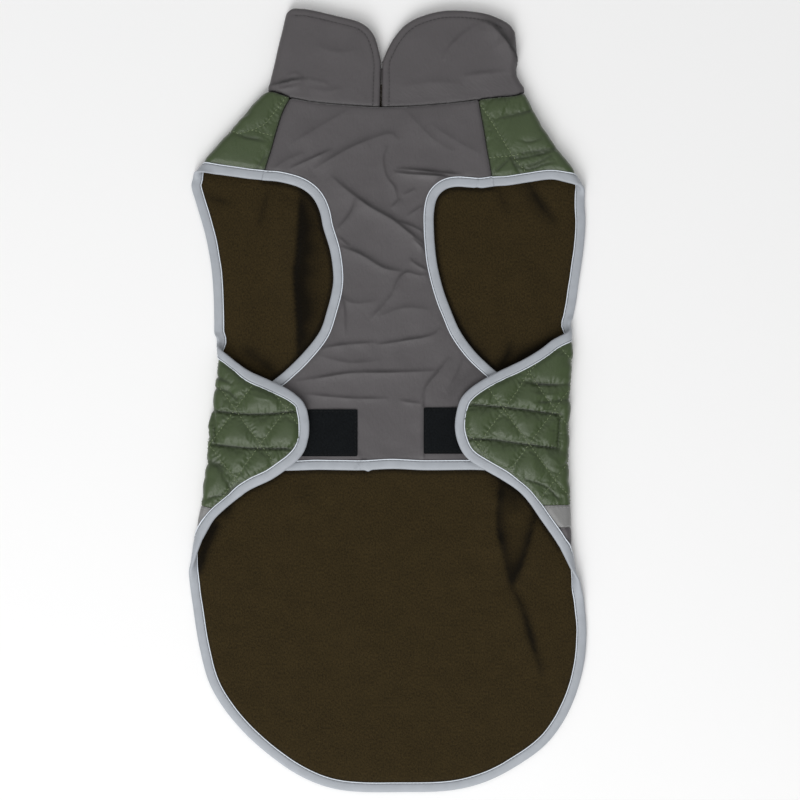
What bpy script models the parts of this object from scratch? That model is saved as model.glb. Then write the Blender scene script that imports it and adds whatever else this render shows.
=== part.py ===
"""A dog's winter coat, laid flat on its back with the belly side up.

Each cloth is cut flat, as its maker cuts it. The sides and shoulders are then folded over a rounded
bend, so that the wings lie on the chest panel and the shoulders meet it. The collar is a strip folded
in the same way. Lengths are in millimetres until a corner is placed. +Y runs from tail to collar, +X to
the right, +Z up, and z = 0 is the surface that the coat lies on.
"""

import math

import bmesh
import bpy
from mathutils import Vector
from mathutils.geometry import delaunay_2d_cdt, interpolate_bezier

MM = 0.001

# Thicknesses and gaps
WALL = 2.0               # quilted shell, and fleece
SEAM = 0.3               # left between two pieces that are sewn together
CHEST_WALL = 2.2
COLLAR_WALL = 1.5
PLUSH_WALL = 2.5
TAPE_WALL = 1.2          # hook tape and loop tape
LOFT = 2.4               # how far a quilted diamond stands up
PUFF = 0.36              # how quickly it rises from its stitch lines: less is quicker
PUFF_RIM = 8.0           # it rises over this distance from the edge tape
PUFF_BAND = 10.0         # and over this distance from the reflective tape

# Folds
SIDE_RADIUS = 3.9        # of the sides and shoulders, between shell and fleece
COLLAR_RADIUS = 3.2
LINING_LEVEL = WALL + SEAM / 2            # height between shell and fleece, as they lie on the floor
COLLAR_LEVEL = COLLAR_WALL + SEAM / 2
HALF_TURN = math.pi

# Edge tape
BINDING = 9.0
CLOTH_INSET = BINDING + SEAM
NEAR_CUT = 0.8           # corners closer than this to a straight cut are dropped
BEND_SLACK = 0.5         # more room between cloth and edge tape where both bend
BINDING_ROWS = [         # distance in from the outer edge, half thickness
    (0.0, 0.8),
    (1.8, 1.75),
    (BINDING, 1.75),
]

# Spacing of the corners
COARSE = 9.0
FINE = 4.0
BEND_STEPS = 4
BEND_MARGIN = 5.0        # how far either side of a bend its edges are cut finely
TURN_REACH = 8.0         # and how far along the fold from where it starts to turn
TURN_START = 0.2         # angle from which a cloth counts as bent
FOLD_ENDS = (-20.0, 240.0)    # rows along every fold lie between these
CHEST_PITCH = 8.5
CHEST_CREASED = 30.0     # above this y the chest panel's corners lie close together
CHEST_ROW_STEP = 3       # below it, only every third row stays
COLLAR_PITCH = 12.0
COLLAR_BEND_MARGIN = 11.0
FLEECE_PITCH = 21.0
FLEECE_BEND_MARGIN = 10.0
SHELL_PITCH = 44.0
SHELL_BEND_MARGIN = 14.0
RIM_MARGIN = 2.6         # corners inside a cloth stay this far from its rim
CUT_MARGIN = 1.0         # and those on a straight cut this far from its ends
LEAST_STEP = 1.0         # shortest side of an outline
SEAM_END_MARGIN = 0.5
TAPE_END_MARGIN = 2.0    # a seam stops this far short of the edge tape
CORNER_SHARE = 0.8       # of the seam's gap, at a corner between two seams

# Quilting: diamonds, and how finely each side of one is divided
DIAMOND_HALF_WIDTH = 20.5
DIAMOND_HALF_HEIGHT = 28.0
DIAMOND_STEPS = 4
QUILT_START = 3.0        # from the end of a bend to the first of a flap's corners
QUILT_CROSSINGS = {      # where two stitch lines cross on each folded flap
    "left_side": (-101.0, -35.0),
    "right_side": (113.0, -35.0),
    "left_shoulder": (-116.0, 207.0),
    "right_shoulder": (99.5, 195.0),
}

# The wings rise over the chest panel and the tapes that hold them
WING_RISE = 3.05
WING_RAMP = 22.0         # from the fold to the full rise
WING_TOP = 120.0         # flaps below this y are wings, and those above it are shoulders
WING_RISE_ROWS = [       # y, share of the rise
    (-76.0, 0.4),
    (-50.0, 1.0),
    (0.0, 1.0),
    (26.0, 0.4),
]
SHOULDER_DROP = 1.0      # the shoulders sink to the chest panel at its seams
SHOULDER_RAMP = 30.0

# Reflective tape let into the shell
REFLECTIVE_TOP = -84.0
REFLECTIVE_BOTTOM = -102.0

# Outlines, as the folded coat lies: x, y
BACK_NECK = [
    (-91.5, 245.6),
    (-46.0, 251.0),
    (6.0, 253.0),
    (58.0, 250.5),
    (101.5, 243.6),
]
LEFT_NECK_TURN = (-97.6, 246.2)
RIGHT_NECK_TURN = (109.0, 245.4)
LEFT_FRONT_NECK = [(-90.5, 245.8), (-84.5, 243.8), (-77.5, 241.5)]
RIGHT_FRONT_NECK = [(102.0, 242.9), (88.0, 241.6), (73.0, 240.0)]
CHEST_NECK = [
    (-77.5, 241.5),
    (-60.0, 238.5),
    (-40.5, 236.5),
    (-5.5, 234.3),
    (26.5, 235.5),
    (51.0, 237.5),
    (73.0, 240.0),
]
LEFT_SEAM = [(-77.5, 241.5), (-83.0, 232.0), (-88.5, 216.0), (-93.0, 200.0), (-97.5, 185.5), (-100.5, 175.0)]
RIGHT_SEAM = [(73.0, 240.0), (74.0, 232.0), (77.0, 216.0), (79.5, 200.0), (82.5, 184.0), (84.5, 170.0)]
LEFT_SHOULDER_EDGE = [(-143.5, 181.6), (-134.0, 180.5), (-118.0, 177.5), (-100.5, 175.0)]
LEFT_SHOULDER_TURN = (-155.0, 180.5)
RIGHT_SHOULDER_EDGE = [(84.5, 170.0), (98.0, 171.5), (114.0, 174.0), (131.0, 177.0), (142.0, 175.5)]
RIGHT_SHOULDER_TURN = (155.6, 168.5)
LEFT_ARMHOLE = [
    (-139.4, 54.0),
    (-139.5, 64.0),
    (-140.0, 84.0),
    (-141.5, 104.0),
    (-144.0, 120.0),
    (-147.5, 136.0),
    (-154.0, 160.0),
    (-156.6, 172.0),
]
RIGHT_ARMHOLE = [
    (158.5, 157.5),
    (159.2, 142.0),
    (157.5, 120.0),
    (153.5, 92.0),
    (151.5, 77.5),
    (149.3, 66.0),
]
RIGHT_WING_TURN = (148.3, 58.5)
LEFT_WING_TURN = (-138.3, 45.5)
RIGHT_WING = [
    (131.2, 48.0),
    (120.8, 40.0),
    (107.2, 32.0),
    (90.4, 24.0),
    (75.2, 16.0),
    (64.0, 8.0),
    (57.6, 0.0),
    (53.7, -16.0),
    (54.2, -28.0),
    (58.4, -40.0),
    (64.8, -48.0),
    (77.2, -56.0),
    (91.2, -64.0),
    (103.2, -72.0),
    (111.2, -80.0),
    (122.4, -96.0),
    (133.6, -112.0),
    (138.4, -120.0),
]
LEFT_WING = [
    (-147.6, -112.0),
    (-138.4, -96.0),
    (-130.4, -88.0),
    (-120.8, -80.0),
    (-109.6, -72.0),
    (-92.8, -64.0),
    (-80.8, -56.0),
    (-71.2, -48.0),
    (-65.6, -40.0),
    (-62.4, -28.0),
    (-62.3, -16.0),
    (-64.4, -6.4),
    (-68.0, 0.0),
    (-77.6, 8.0),
    (-93.6, 16.0),
    (-111.2, 24.0),
    (-122.4, 32.0),
]
HEM = [
    (154.5, -145.5),
    (157.5, -162.0),
    (160.0, -188.0),
    (157.0, -217.5),
    (146.0, -249.0),
    (130.0, -273.0),
    (110.0, -289.0),
    (80.5, -305.0),
    (51.5, -312.5),
    (14.0, -314.0),
    (-32.5, -313.0),
    (-59.5, -306.0),
    (-86.0, -291.0),
    (-118.0, -263.5),
    (-141.0, -232.0),
    (-151.0, -200.0),
    (-157.0, -163.0),
    (-159.5, -144.0),
]
CHEST_EDGE = [
    (84.5, 170.0),
    (74.0, 168.3),
    (64.5, 169.0),
    (55.0, 169.5),
    (47.0, 167.5),
    (41.0, 161.5),
    (38.4, 151.0),
    (38.2, 138.0),
    (39.0, 124.0),
    (41.0, 108.0),
    (45.5, 89.5),
    (51.5, 73.0),
    (59.0, 56.0),
    (70.5, 40.0),
    (85.5, 25.5),
    (99.5, 14.5),
    (111.0, 1.5),
    (116.0, -16.0),
    (116.0, -36.0),
    (108.5, -51.5),
    (92.0, -57.0),
    (66.0, -57.0),
    (30.0, -57.3),
    (4.0, -56.3),
    (-22.0, -57.4),
    (-54.0, -57.0),
    (-91.0, -57.3),
    (-107.5, -52.5),
    (-115.0, -38.0),
    (-115.5, -20.0),
    (-111.5, -3.0),
    (-100.5, 9.5),
    (-83.0, 24.0),
    (-67.0, 40.0),
    (-55.0, 56.0),
    (-49.5, 72.0),
    (-45.5, 88.0),
    (-44.5, 100.0),
    (-47.0, 119.0),
    (-52.5, 137.5),
    (-55.5, 151.0),
    (-61.0, 161.5),
    (-70.0, 168.5),
    (-84.0, 172.8),
    (-100.5, 175.0),
]
COLLAR_LEFT_NECK_TURN = (-96.0, 246.6)
COLLAR_RIGHT_NECK_TURN = (110.0, 245.9)
COLLAR_LEFT_SLIT = [(-6.6, 234.6), (-6.0, 254.0), (-5.6, 272.0)]
COLLAR_LEFT_TOP = [
    (-5.6, 272.0),
    (-10.0, 289.5),
    (-15.5, 297.5),
    (-23.5, 302.5),
    (-40.5, 307.0),
    (-64.0, 312.3),
    (-75.0, 313.0),
]
COLLAR_LEFT_CORNER = (-80.3, 310.0)
COLLAR_RIGHT_SLIT = [(-4.2, 234.6), (-3.9, 254.0), (-3.8, 270.0)]
COLLAR_RIGHT_TOP = [
    (-3.8, 270.0),
    (-0.5, 279.0),
    (5.0, 289.0),
    (13.5, 299.0),
    (24.0, 305.5),
    (43.0, 310.8),
    (61.0, 311.2),
    (79.5, 308.6),
    (89.5, 304.7),
    (96.0, 301.2),
]
COLLAR_RIGHT_CORNER = (102.3, 295.5)
COLLAR_BACK_TOP = [
    (96.0, 291.5),
    (86.0, 290.0),
    (72.0, 294.0),
    (42.0, 290.0),
    (18.0, 278.0),
    (-4.0, 266.0),
    (-26.0, 280.0),
    (-46.0, 294.0),
    (-72.0, 303.0),
]

# Tapes: lowest x, highest x, lowest y, highest y
HOOK_TAPES = {
    "hook_tape_left": (-99.0, -24.0, -45.0, -7.5),
    "hook_tape_right": (29.0, 100.0, -43.0, -6.0),
}
LOOP_TAPES = {
    "loop_tape_left": ("left_side", (-105.0, -76.0, -38.5, -10.5)),
    "loop_tape_right": ("right_side", (69.0, 109.0, -39.5, -11.5)),
}

# Height of the middle of the chest panel: y, height
CHEST_LEVEL_ROWS = [
    (50.0, 6.3),
    (120.0, 7.0),
    (190.0, 8.2),
    (235.0, 8.6),
]
CHEST_SEAM_LEVEL = 9.3
CHEST_SEAM_REACH = 30.0

# The distance from an edge at which soft folds begin, and that over which they reach their height
CHEST_FOLD_RAMP = 12.0
COLLAR_FOLD_RAMP = 12.0
FLEECE_FOLD_START = 4.0
FLEECE_FOLD_RAMP = 14.0
FLEECE_CHEST_START = 2.0

# Soft folds: height, half width, and the line that each follows
CHEST_FOLDS = [
    (1.9, 6.0, [(-43.0, 179.0), (-25.0, 162.0), (-7.5, 149.5), (9.5, 140.0), (29.0, 125.0)]),
    (1.5, 6.0, [(-39.5, 124.0), (-17.5, 115.0), (-0.5, 104.0), (12.0, 102.0)]),
    (1.7, 6.5, [(-70.0, 189.0), (-49.5, 197.5), (-22.5, 207.0), (3.5, 212.0)]),
    (1.3, 5.5, [(-1.5, 203.5), (-2.5, 187.5), (2.0, 175.5), (7.0, 164.0)]),
    (1.5, 5.5, [(7.0, 186.0), (24.0, 184.0), (48.5, 181.0)]),
    (1.2, 5.5, [(-26.0, 159.5), (-32.0, 144.5), (-34.0, 137.5)]),
    (1.2, 5.5, [(2.0, 88.5), (12.0, 99.5), (30.5, 100.5)]),
    (0.9, 7.0, [(-31.5, 43.5), (10.0, 47.0), (34.0, 49.5)]),
]
FLEECE_FOLDS = [
    (2.2, 13.0, [(91.0, -88.0), (95.5, -112.0), (103.0, -148.0)]),
    (1.8, 13.0, [(103.0, -148.0), (114.0, -176.0), (122.0, -205.0)]),
    (1.8, 16.0, [(-60.0, -120.0), (-20.0, -180.0), (10.0, -230.0)]),
    (1.4, 14.0, [(-110.0, -150.0), (-95.0, -200.0), (-70.0, -240.0)]),
    (2.0, 12.0, [(-82.0, 140.0), (-84.0, 88.0), (-90.0, 60.0)]),
    (2.0, 12.0, [(118.0, 140.0), (100.0, 110.0), (96.0, 85.0)]),
]
COLLAR_FOLDS = [
    (1.3, 6.0, [(-86.0, 253.5), (-80.5, 255.0), (-70.5, 257.0)]),
    (1.2, 7.0, [(43.0, 272.5), (51.0, 283.5), (66.0, 295.0)]),
    (1.4, 7.0, [(78.0, 300.0), (90.0, 288.0), (96.0, 270.0)]),
    (1.0, 7.0, [(35.0, 262.0), (62.0, 262.0), (86.0, 258.0)]),
]

# Colours, as linear red, green and blue
GREEN_NYLON = (0.062, 0.085, 0.038)
GREY_NYLON = (0.102, 0.093, 0.097)
FLEECE = (0.030, 0.020, 0.007)
PLUSH = (0.18, 0.17, 0.17)
SILVER_TAPE = (0.36, 0.385, 0.42)
REFLECTIVE = (0.21, 0.21, 0.21)
BLACK_TAPE = (0.006, 0.007, 0.008)


def between(rows, place):
    """Reads a table of rising (place, value) rows, in straight lines from row to row."""
    if place <= rows[0][0]:
        return rows[0][1]
    for (low, first), (high, second) in zip(rows, rows[1:]):
        if place <= high:
            return first + (second - first) * (place - low) / (high - low)
    return rows[-1][1]


def eased(share):
    """Turns a share from 0 to 1 into one that starts and ends gently."""
    share = min(max(share, 0.0), 1.0)
    return share * share * (3.0 - 2.0 * share)


class Fold:
    """A rounded bend along a line: the cloth past it turns up and over, towards the middle.

    start and end lie on the bend's outermost edge, and hand is 1 on the left, -1 on the right. turned
    gives the angle at each y, and bow how far the line swings outwards there.
    """

    def __init__(self, start, end, hand, radius, level, turned, bow):
        start = Vector(start)
        self.along = (Vector(end) - start).normalized()
        self.out = hand * Vector((self.along.y, -self.along.x))
        self.start = start - self.out * (radius + level)
        self.radius = radius
        self.level = level
        self.turned = turned
        self.bow_rows = bow

    def height_at(self, along):
        return self.start.y + along * self.along.y

    def angle(self, along):
        share = between(self.turned, self.height_at(along))
        return HALF_TURN * eased(share)

    def bow(self, along):
        return between(self.bow_rows, self.height_at(along))

    def split(self, point):
        """Gives the distance along the fold, and the distance past the start of its bend."""
        offset = Vector(point) - self.start
        along = offset.dot(self.along)
        return along, offset.dot(self.out) - self.bow(along)

    def join(self, along, past):
        """Gives the point of the flat cloth at these distances."""
        return self.start + self.along * along + self.out * (self.bow(along) + past)

    def unfold(self, point):
        """Gives the place in the flat cloth of a point on the folded flap."""
        along, past = self.split(point)
        return self.join(along, HALF_TURN * self.radius - past)

    def crest(self, point):
        """Gives the place in the flat cloth of a point on the bend's outermost edge."""
        along, _ = self.split(point)
        return self.join(along, HALF_TURN * self.radius / 2)

    def place(self, point, outer, lift):
        """Bends a point that lies outer millimetres outside the middle surface; None if not past."""
        along, past = self.split(point)
        total = self.angle(along)
        if past <= 0.0 or total <= 0.0:
            return None
        bent = min(past / self.radius, total)
        straight = max(past - self.radius * total, 0.0)
        spread = (self.radius + outer) * math.sin(bent) + straight * math.cos(bent)
        plan = self.start + self.along * along + self.out * (self.bow(along) + spread)
        rise = self.radius * (1.0 - math.cos(bent)) + straight * math.sin(bent) - outer * math.cos(bent)
        over = math.sin(bent / 2) ** 2
        return Vector((plan.x, plan.y, self.level + rise + over * lift(plan, straight)))


def side_folds():
    """The four folds of the coat itself."""
    make = {}
    make["left_side"] = Fold(
        (-134.2, 52.0), (-159.0, -138.0), 1, SIDE_RADIUS, LINING_LEVEL,
        [(-141.0, 0.0), (-112.0, 1.0), (38.0, 1.0), (54.0, 0.0)],
        [(32.0, 0.0), (40.0, 1.5), (46.0, 3.5), (54.0, 4.5), (64.0, 6.0)],
    )
    make["right_side"] = Fold(
        (148.3, 64.0), (148.6, -130.0), -1, SIDE_RADIUS, LINING_LEVEL,
        [(-149.0, 0.0), (-121.0, 1.0), (52.0, 1.0), (69.0, 0.0)],
        [(-144.0, 4.5), (-136.0, 2.8), (-120.0, 0.0), (-84.0, -1.2), (-64.0, -3.8), (-16.0, -2.6),
         (40.0, 0.0)],
    )
    make["left_shoulder"] = Fold(
        (-98.5, 247.0), (-154.5, 183.5), 1, SIDE_RADIUS, LINING_LEVEL,
        [(174.0, 0.0), (187.0, 1.0)],
        [(180.0, -1.0), (188.0, 0.0)],
    )
    make["right_shoulder"] = Fold(
        (109.6, 247.5), (151.5, 181.0), -1, SIDE_RADIUS, LINING_LEVEL,
        [(160.5, 0.0), (175.0, 1.0)],
        [(182.0, 0.0), (200.0, -2.0), (218.0, -3.4), (236.0, -1.0), (246.0, 0.0)],
    )
    return make


def collar_folds():
    """The two folds of the collar strip."""
    make = {}
    make["left"] = Fold(
        (-80.5, 312.0), (-95.8, 248.0), 1, COLLAR_RADIUS, COLLAR_LEVEL,
        [(0.0, 1.0)],
        [(0.0, 0.0)],
    )
    make["right"] = Fold(
        (103.4, 296.0), (109.4, 246.5), -1, COLLAR_RADIUS, COLLAR_LEVEL,
        [(0.0, 1.0)],
        [(246.0, 0.8), (250.0, 0.2), (254.5, -2.3), (259.5, -4.1), (265.0, -5.2), (271.0, -3.5),
         (280.0, -1.9), (294.0, -1.3)],
    )
    return make


SIDES = side_folds()
COLLAR = collar_folds()


# ---- Lines ----

def distance_to_line(point, line):
    """Shortest distance from a point to a line of points."""
    best = math.inf
    for first, second in zip(line, line[1:]):
        run = second - first
        share = (point - first).dot(run) / max(run.length_squared, 1e-9)
        best = min(best, (first + run * min(max(share, 0.0), 1.0) - point).length)
    return best


def is_inside(point, loop):
    """Tells whether a point lies inside a closed loop."""
    inside = False
    for first, second in zip(loop, loop[1:] + loop[:1]):
        if (first.y > point.y) != (second.y > point.y):
            cross = first.x + (point.y - first.y) / (second.y - first.y) * (second.x - first.x)
            if point.x < cross:
                inside = not inside
    return inside


def smooth_line(points):
    """A soft curve through the points, in steps of about a millimetre."""
    points = [Vector(point).to_2d() for point in points]
    ends = [2 * points[0] - points[1]] + points + [2 * points[-1] - points[-2]]
    line = [points[0]]
    for before, first, second, after in zip(ends, ends[1:], ends[2:], ends[3:]):
        third = (second - first).length / 3
        handle_out = first + (second - before).normalized() * third
        handle_in = second - (after - first).normalized() * third
        steps = max(int(third * 3), 2)
        knots = [knot.to_3d() for knot in (first, handle_out, handle_in, second)]
        line += [knot.to_2d() for knot in interpolate_bezier(*knots, steps + 1)[1:]]
    return line


def near_bend(point, folds):
    """Tells whether a point of the flat cloth lies where it bends."""
    for fold in folds.values():
        along, past = fold.split(point)
        bends = max(fold.angle(along - TURN_REACH), fold.angle(along + TURN_REACH)) > TURN_START
        if bends and -BEND_MARGIN < past < HALF_TURN * fold.radius + BEND_MARGIN:
            return True
    return False


def stepped(points, folds, coarse=COARSE):
    """The curve through the points in even steps, finer where it crosses a fold."""
    line = smooth_line(points)
    lengths = [(second - first).length for first, second in zip(line, line[1:])]
    weights = [length / (FINE if near_bend(point, folds) else coarse) for length, point in zip(lengths, line)]
    total = sum(weights)
    count = max(int(round(total)), 1)
    marks = [total * index / count for index in range(1, count)]
    found = [line[0]]
    walked = 0.0
    for first, second, weight in zip(line, line[1:], weights):
        while marks and walked + weight >= marks[0]:
            share = (marks.pop(0) - walked) / weight
            found.append(first.lerp(second, share))
        walked += weight
    return found + [line[-1]]


def inward(line, first_way=None, last_way=None):
    """The direction into the cloth at each point of an edge that runs clockwise round it."""
    ways = []
    for index in range(len(line)):
        before = line[max(index - 1, 0)]
        after = line[min(index + 1, len(line) - 1)]
        run = (after - before).normalized()
        ways.append(Vector((run.y, -run.x)))
    if first_way is not None:
        ways[0] = first_way
    if last_way is not None:
        ways[-1] = last_way
    return ways


def moved_in(line, ways, distance):
    return [point + way * distance for point, way in zip(line, ways)]


def cut_above(loop, level):
    """The part of a closed loop above y = level, without corners too near to the cut."""
    kept = []
    for first, second in zip(loop, loop[1:] + loop[:1]):
        if first.y >= level + NEAR_CUT:
            kept.append(first)
        if (first.y >= level) != (second.y >= level):
            kept.append(first.lerp(second, (level - first.y) / (second.y - first.y)))
    return kept


def cut_below(loop, level):
    """The part of a closed loop below y = level."""
    flipped = [Vector((point.x, -point.y)) for point in loop]
    return [Vector((point.x, -point.y)) for point in cut_above(flipped, -level)]


def with_levels(loop, levels):
    """The loop with a corner wherever it crosses a level, and none too near to it."""
    found = []
    for first, second in zip(loop, loop[1:] + loop[:1]):
        if all(abs(first.y - level) >= NEAR_CUT for level in levels):
            found.append(first)
        for level in levels:
            if (first.y >= level) != (second.y >= level):
                found.append(first.lerp(second, (level - first.y) / (second.y - first.y)))
    return found


def filled(loop, pitch=COARSE):
    """The loop with its long straight cuts divided into steps."""
    found = []
    for first, second in zip(loop, loop[1:] + loop[:1]):
        count = max(int((second - first).length / (pitch * 1.5)), 1)
        found += [first.lerp(second, step / count) for step in range(count)]
    return found


def with_crossings(loop, spots):
    """The loop with each spot that lies on its level cuts added where it belongs."""
    found = []
    for first, second in zip(loop, loop[1:] + loop[:1]):
        found.append(first)
        level = abs(first.y - second.y) < 0.01
        low, high = sorted((first.x, second.x))
        on_cut = [Vector((p.x, first.y)) for p in spots
                  if level and abs(p.y - first.y) < SEAM and low + CUT_MARGIN < p.x < high - CUT_MARGIN]
        found += sorted(on_cut, key=lambda p: (p - first).length)
    return found


def without_near(points, distance):
    """Drops each point that lies closer than a distance to the one before."""
    kept = [points[0]]
    for point in points[1:]:
        if (point - kept[-1]).length > distance:
            kept.append(point)
    if (kept[0] - kept[-1]).length < distance:
        kept.pop()
    return kept


# ---- Outlines of the flat cloths ----

def laid(rows):
    return [Vector(row) for row in rows]


def turned(fold, rows):
    return [fold.unfold(row) for row in rows]


def coat_edge():
    """The bound edge of the flat coat: from the right shoulder seam clockwise to the left one."""
    points = turned(SIDES["right_shoulder"], RIGHT_SHOULDER_EDGE)
    points.append(SIDES["right_shoulder"].crest(RIGHT_SHOULDER_TURN))
    points += laid(RIGHT_ARMHOLE)
    points.append(SIDES["right_side"].crest(RIGHT_WING_TURN))
    points += turned(SIDES["right_side"], RIGHT_WING)
    points += laid(HEM)
    points += turned(SIDES["left_side"], LEFT_WING)
    points.append(SIDES["left_side"].crest(LEFT_WING_TURN))
    points += laid(LEFT_ARMHOLE)
    points.append(SIDES["left_shoulder"].crest(LEFT_SHOULDER_TURN))
    points += turned(SIDES["left_shoulder"], LEFT_SHOULDER_EDGE)
    return stepped(points, SIDES)


def coat_seams():
    """The flat coat's two shoulder seams and its neck line, each clockwise."""
    left = turned(SIDES["left_shoulder"], stepped(LEFT_SEAM[::-1], {}))
    right = turned(SIDES["right_shoulder"], stepped(RIGHT_SEAM, {}))
    neck = turned(SIDES["left_shoulder"], LEFT_FRONT_NECK[::-1])
    neck.append(SIDES["left_shoulder"].crest(LEFT_NECK_TURN))
    neck += laid(BACK_NECK)
    neck.append(SIDES["right_shoulder"].crest(RIGHT_NECK_TURN))
    neck += turned(SIDES["right_shoulder"], RIGHT_FRONT_NECK)
    return left, stepped(neck, SIDES), right


def bound_edge(line, first_seam, last_seam):
    """An edge with its inward directions, which run along the seams at its two ends."""
    first_way = (first_seam[-2] - first_seam[-1]).normalized()
    last_way = (last_seam[1] - last_seam[0]).normalized()
    ways = inward(line, first_way, last_way)
    line = list(line)
    line[0] = line[0] + (line[1] - line[0]).normalized() * SEAM / 2
    line[-1] = line[-1] + (line[-2] - line[-1]).normalized() * SEAM / 2
    return line, ways


def shortened(line, from_start, from_end):
    """Drops what lies within a distance of either end, for the tape that covers it."""
    return [p for p in line if (p - line[0]).length >= from_start and (p - line[-1]).length >= from_end]


def sewn_loop(edge, ways, seams, folds):
    """The closed outline of a cloth inside its binding and a little back from its seams."""
    loop = []
    for point, way in zip(edge, ways):
        slack = BEND_SLACK if near_bend(point, folds) else 0.0
        loop.append(point + way * (CLOTH_INSET + slack))
    for index, seam in enumerate(seams):
        line = moved_in(seam, inward(seam), SEAM / 2)
        head = CLOTH_INSET + TAPE_END_MARGIN if index == 0 else SEAM_END_MARGIN
        tail = CLOTH_INSET + TAPE_END_MARGIN if index == len(seams) - 1 else SEAM_END_MARGIN
        loop += shortened(line, head, tail) if len(line) > 3 else line[1:-1]
        if index < len(seams) - 1:
            corner = seam[-1]
            middle = (seam[-2] - corner).normalized() + (seams[index + 1][1] - corner).normalized()
            loop.append(corner + middle.normalized() * SEAM * CORNER_SHARE)
    return without_near(loop, LEAST_STEP)


# ---- Heights ----

def fold_height(folds, point):
    """How far the soft folds lift a point."""
    total = 0.0
    for height, half_width, line in folds:
        line = [Vector(row) for row in line]
        total += height * math.exp(-(distance_to_line(point, line) / half_width) ** 2)
    return total


def flap_lift(plan, straight):
    """How far a wing or shoulder stands above the plain fold."""
    if plan.y < WING_TOP:
        return WING_RISE * min(straight / WING_RAMP, 1.0) * between(WING_RISE_ROWS, plan.y)
    return -SHOULDER_DROP * min(straight / SHOULDER_RAMP, 1.0)


def place_coat(point, outer, floor_lift=0.0):
    """Puts a point of the flat coat where it lies, outer millimetres outside the middle surface."""
    for fold in SIDES.values():
        placed = fold.place(point, outer, flap_lift)
        if placed is not None:
            return placed
    return Vector((point.x, point.y, LINING_LEVEL - outer + floor_lift))


def chest_level(point):
    """Height of the middle of the chest panel, without its soft folds."""
    level = between(CHEST_LEVEL_ROWS, point.y)
    seams = [[Vector(row) for row in LEFT_SEAM], [Vector(row) for row in RIGHT_SEAM]]
    near = min(distance_to_line(point, seam) for seam in seams)
    rise = eased(1.0 - near / CHEST_SEAM_REACH)
    return level + (CHEST_SEAM_LEVEL - level) * rise


def collar_lift(plan, straight):
    """How far the soft folds lift the front of the collar."""
    return fold_height(COLLAR_FOLDS, plan) * eased(straight / COLLAR_FOLD_RAMP)


def place_collar(point, outer):
    for fold in COLLAR.values():
        placed = fold.place(point, outer, collar_lift)
        if placed is not None:
            return placed
    return Vector((point.x, point.y, COLLAR_LEVEL - outer))


# ---- Corners inside the outlines ----

def bend_spots(folds):
    """Corners in rows along each fold and round its bend."""
    found = []
    for fold in folds.values():
        pasts = [HALF_TURN * fold.radius * step / BEND_STEPS for step in range(BEND_STEPS + 1)]
        along, last = FOLD_ENDS
        while along < last:
            changing = abs(fold.angle(along + FINE) - fold.angle(along - FINE)) > 0.05
            if max(fold.angle(along - FINE), fold.angle(along + FINE)) > 0.0:
                found += [fold.join(along, past) for past in pasts]
            along += FINE if changing else COARSE
    return found


def band_spots(level):
    """Corners where the level of a band's seam crosses the rows round the side folds."""
    found = []
    for fold in (SIDES["left_side"], SIDES["right_side"]):
        pasts = [HALF_TURN * fold.radius * step / BEND_STEPS for step in range(BEND_STEPS + 1)]
        for past in pasts + [pasts[-1] + COARSE, pasts[-1] + 2 * COARSE]:
            along = 0.0
            for _ in range(4):
                along += (level - fold.join(along, past).y) / fold.along.y
            found.append(fold.join(along, past))
    return found


def clear_spots(spots, loop, levels, margin=RIM_MARGIN):
    """The spots inside a loop that lie clear of its edge and of the bands' seams."""
    rim = loop + loop[:1]
    found = []
    for point in spots:
        off_seams = all(abs(point.y - level) > margin for level in levels)
        if off_seams and is_inside(point, loop) and distance_to_line(point, rim) > margin:
            found.append(point)
    return found


def quilt_place(name, plan):
    """A point's place in the diamonds of a flap: whole numbers lie on stitch lines."""
    cross = Vector(QUILT_CROSSINGS[name])
    across = (plan.x - cross.x) / DIAMOND_HALF_WIDTH
    up = (plan.y - cross.y) / DIAMOND_HALF_HEIGHT
    return (across + up) / 2, (across - up) / 2


def quilt_spots():
    """Corners on the stitch lines and in the diamonds of the four flaps."""
    found = []
    for name, fold in SIDES.items():
        cross = Vector(QUILT_CROSSINGS[name])
        reach = 6 * DIAMOND_STEPS
        for i in range(-reach, reach + 1):
            for j in range(-reach, reach + 1):
                plan = cross + Vector((
                    (i + j) * DIAMOND_HALF_WIDTH / DIAMOND_STEPS,
                    (i - j) * DIAMOND_HALF_HEIGHT / DIAMOND_STEPS,
                ))
                along, past = fold.split(plan)
                if fold.angle(along) == HALF_TURN and past < -QUILT_START:
                    found.append(fold.unfold(plan))
    return found


def hexagon_spots(pitch, low, high):
    """Corners in even rows over a rectangle."""
    found = []
    row = 0
    y = low[1]
    while y < high[1]:
        x = low[0] + (pitch / 2 if row % 2 else 0.0)
        while x < high[0]:
            found.append(Vector((x, y)))
            x += pitch
        y += pitch * math.sqrt(0.75)
        row += 1
    return found


def is_flat(point, folds, margin):
    """Tells whether a point of the flat cloth lies clear of the bends, on the side that rests."""
    for fold in folds.values():
        along, past = fold.split(point)
        if fold.angle(along) > 0.0 and past > -margin:
            return False
    return True


# ---- Solids ----

def material(name, colour, roughness):
    made = bpy.data.materials.new(name)
    made.use_nodes = True
    shader = made.node_tree.nodes["Principled BSDF"]
    shader.inputs["Base Color"].default_value = (*colour, 1.0)
    shader.inputs["Roughness"].default_value = roughness
    shader.inputs["Metallic"].default_value = 0.0
    return made


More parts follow.
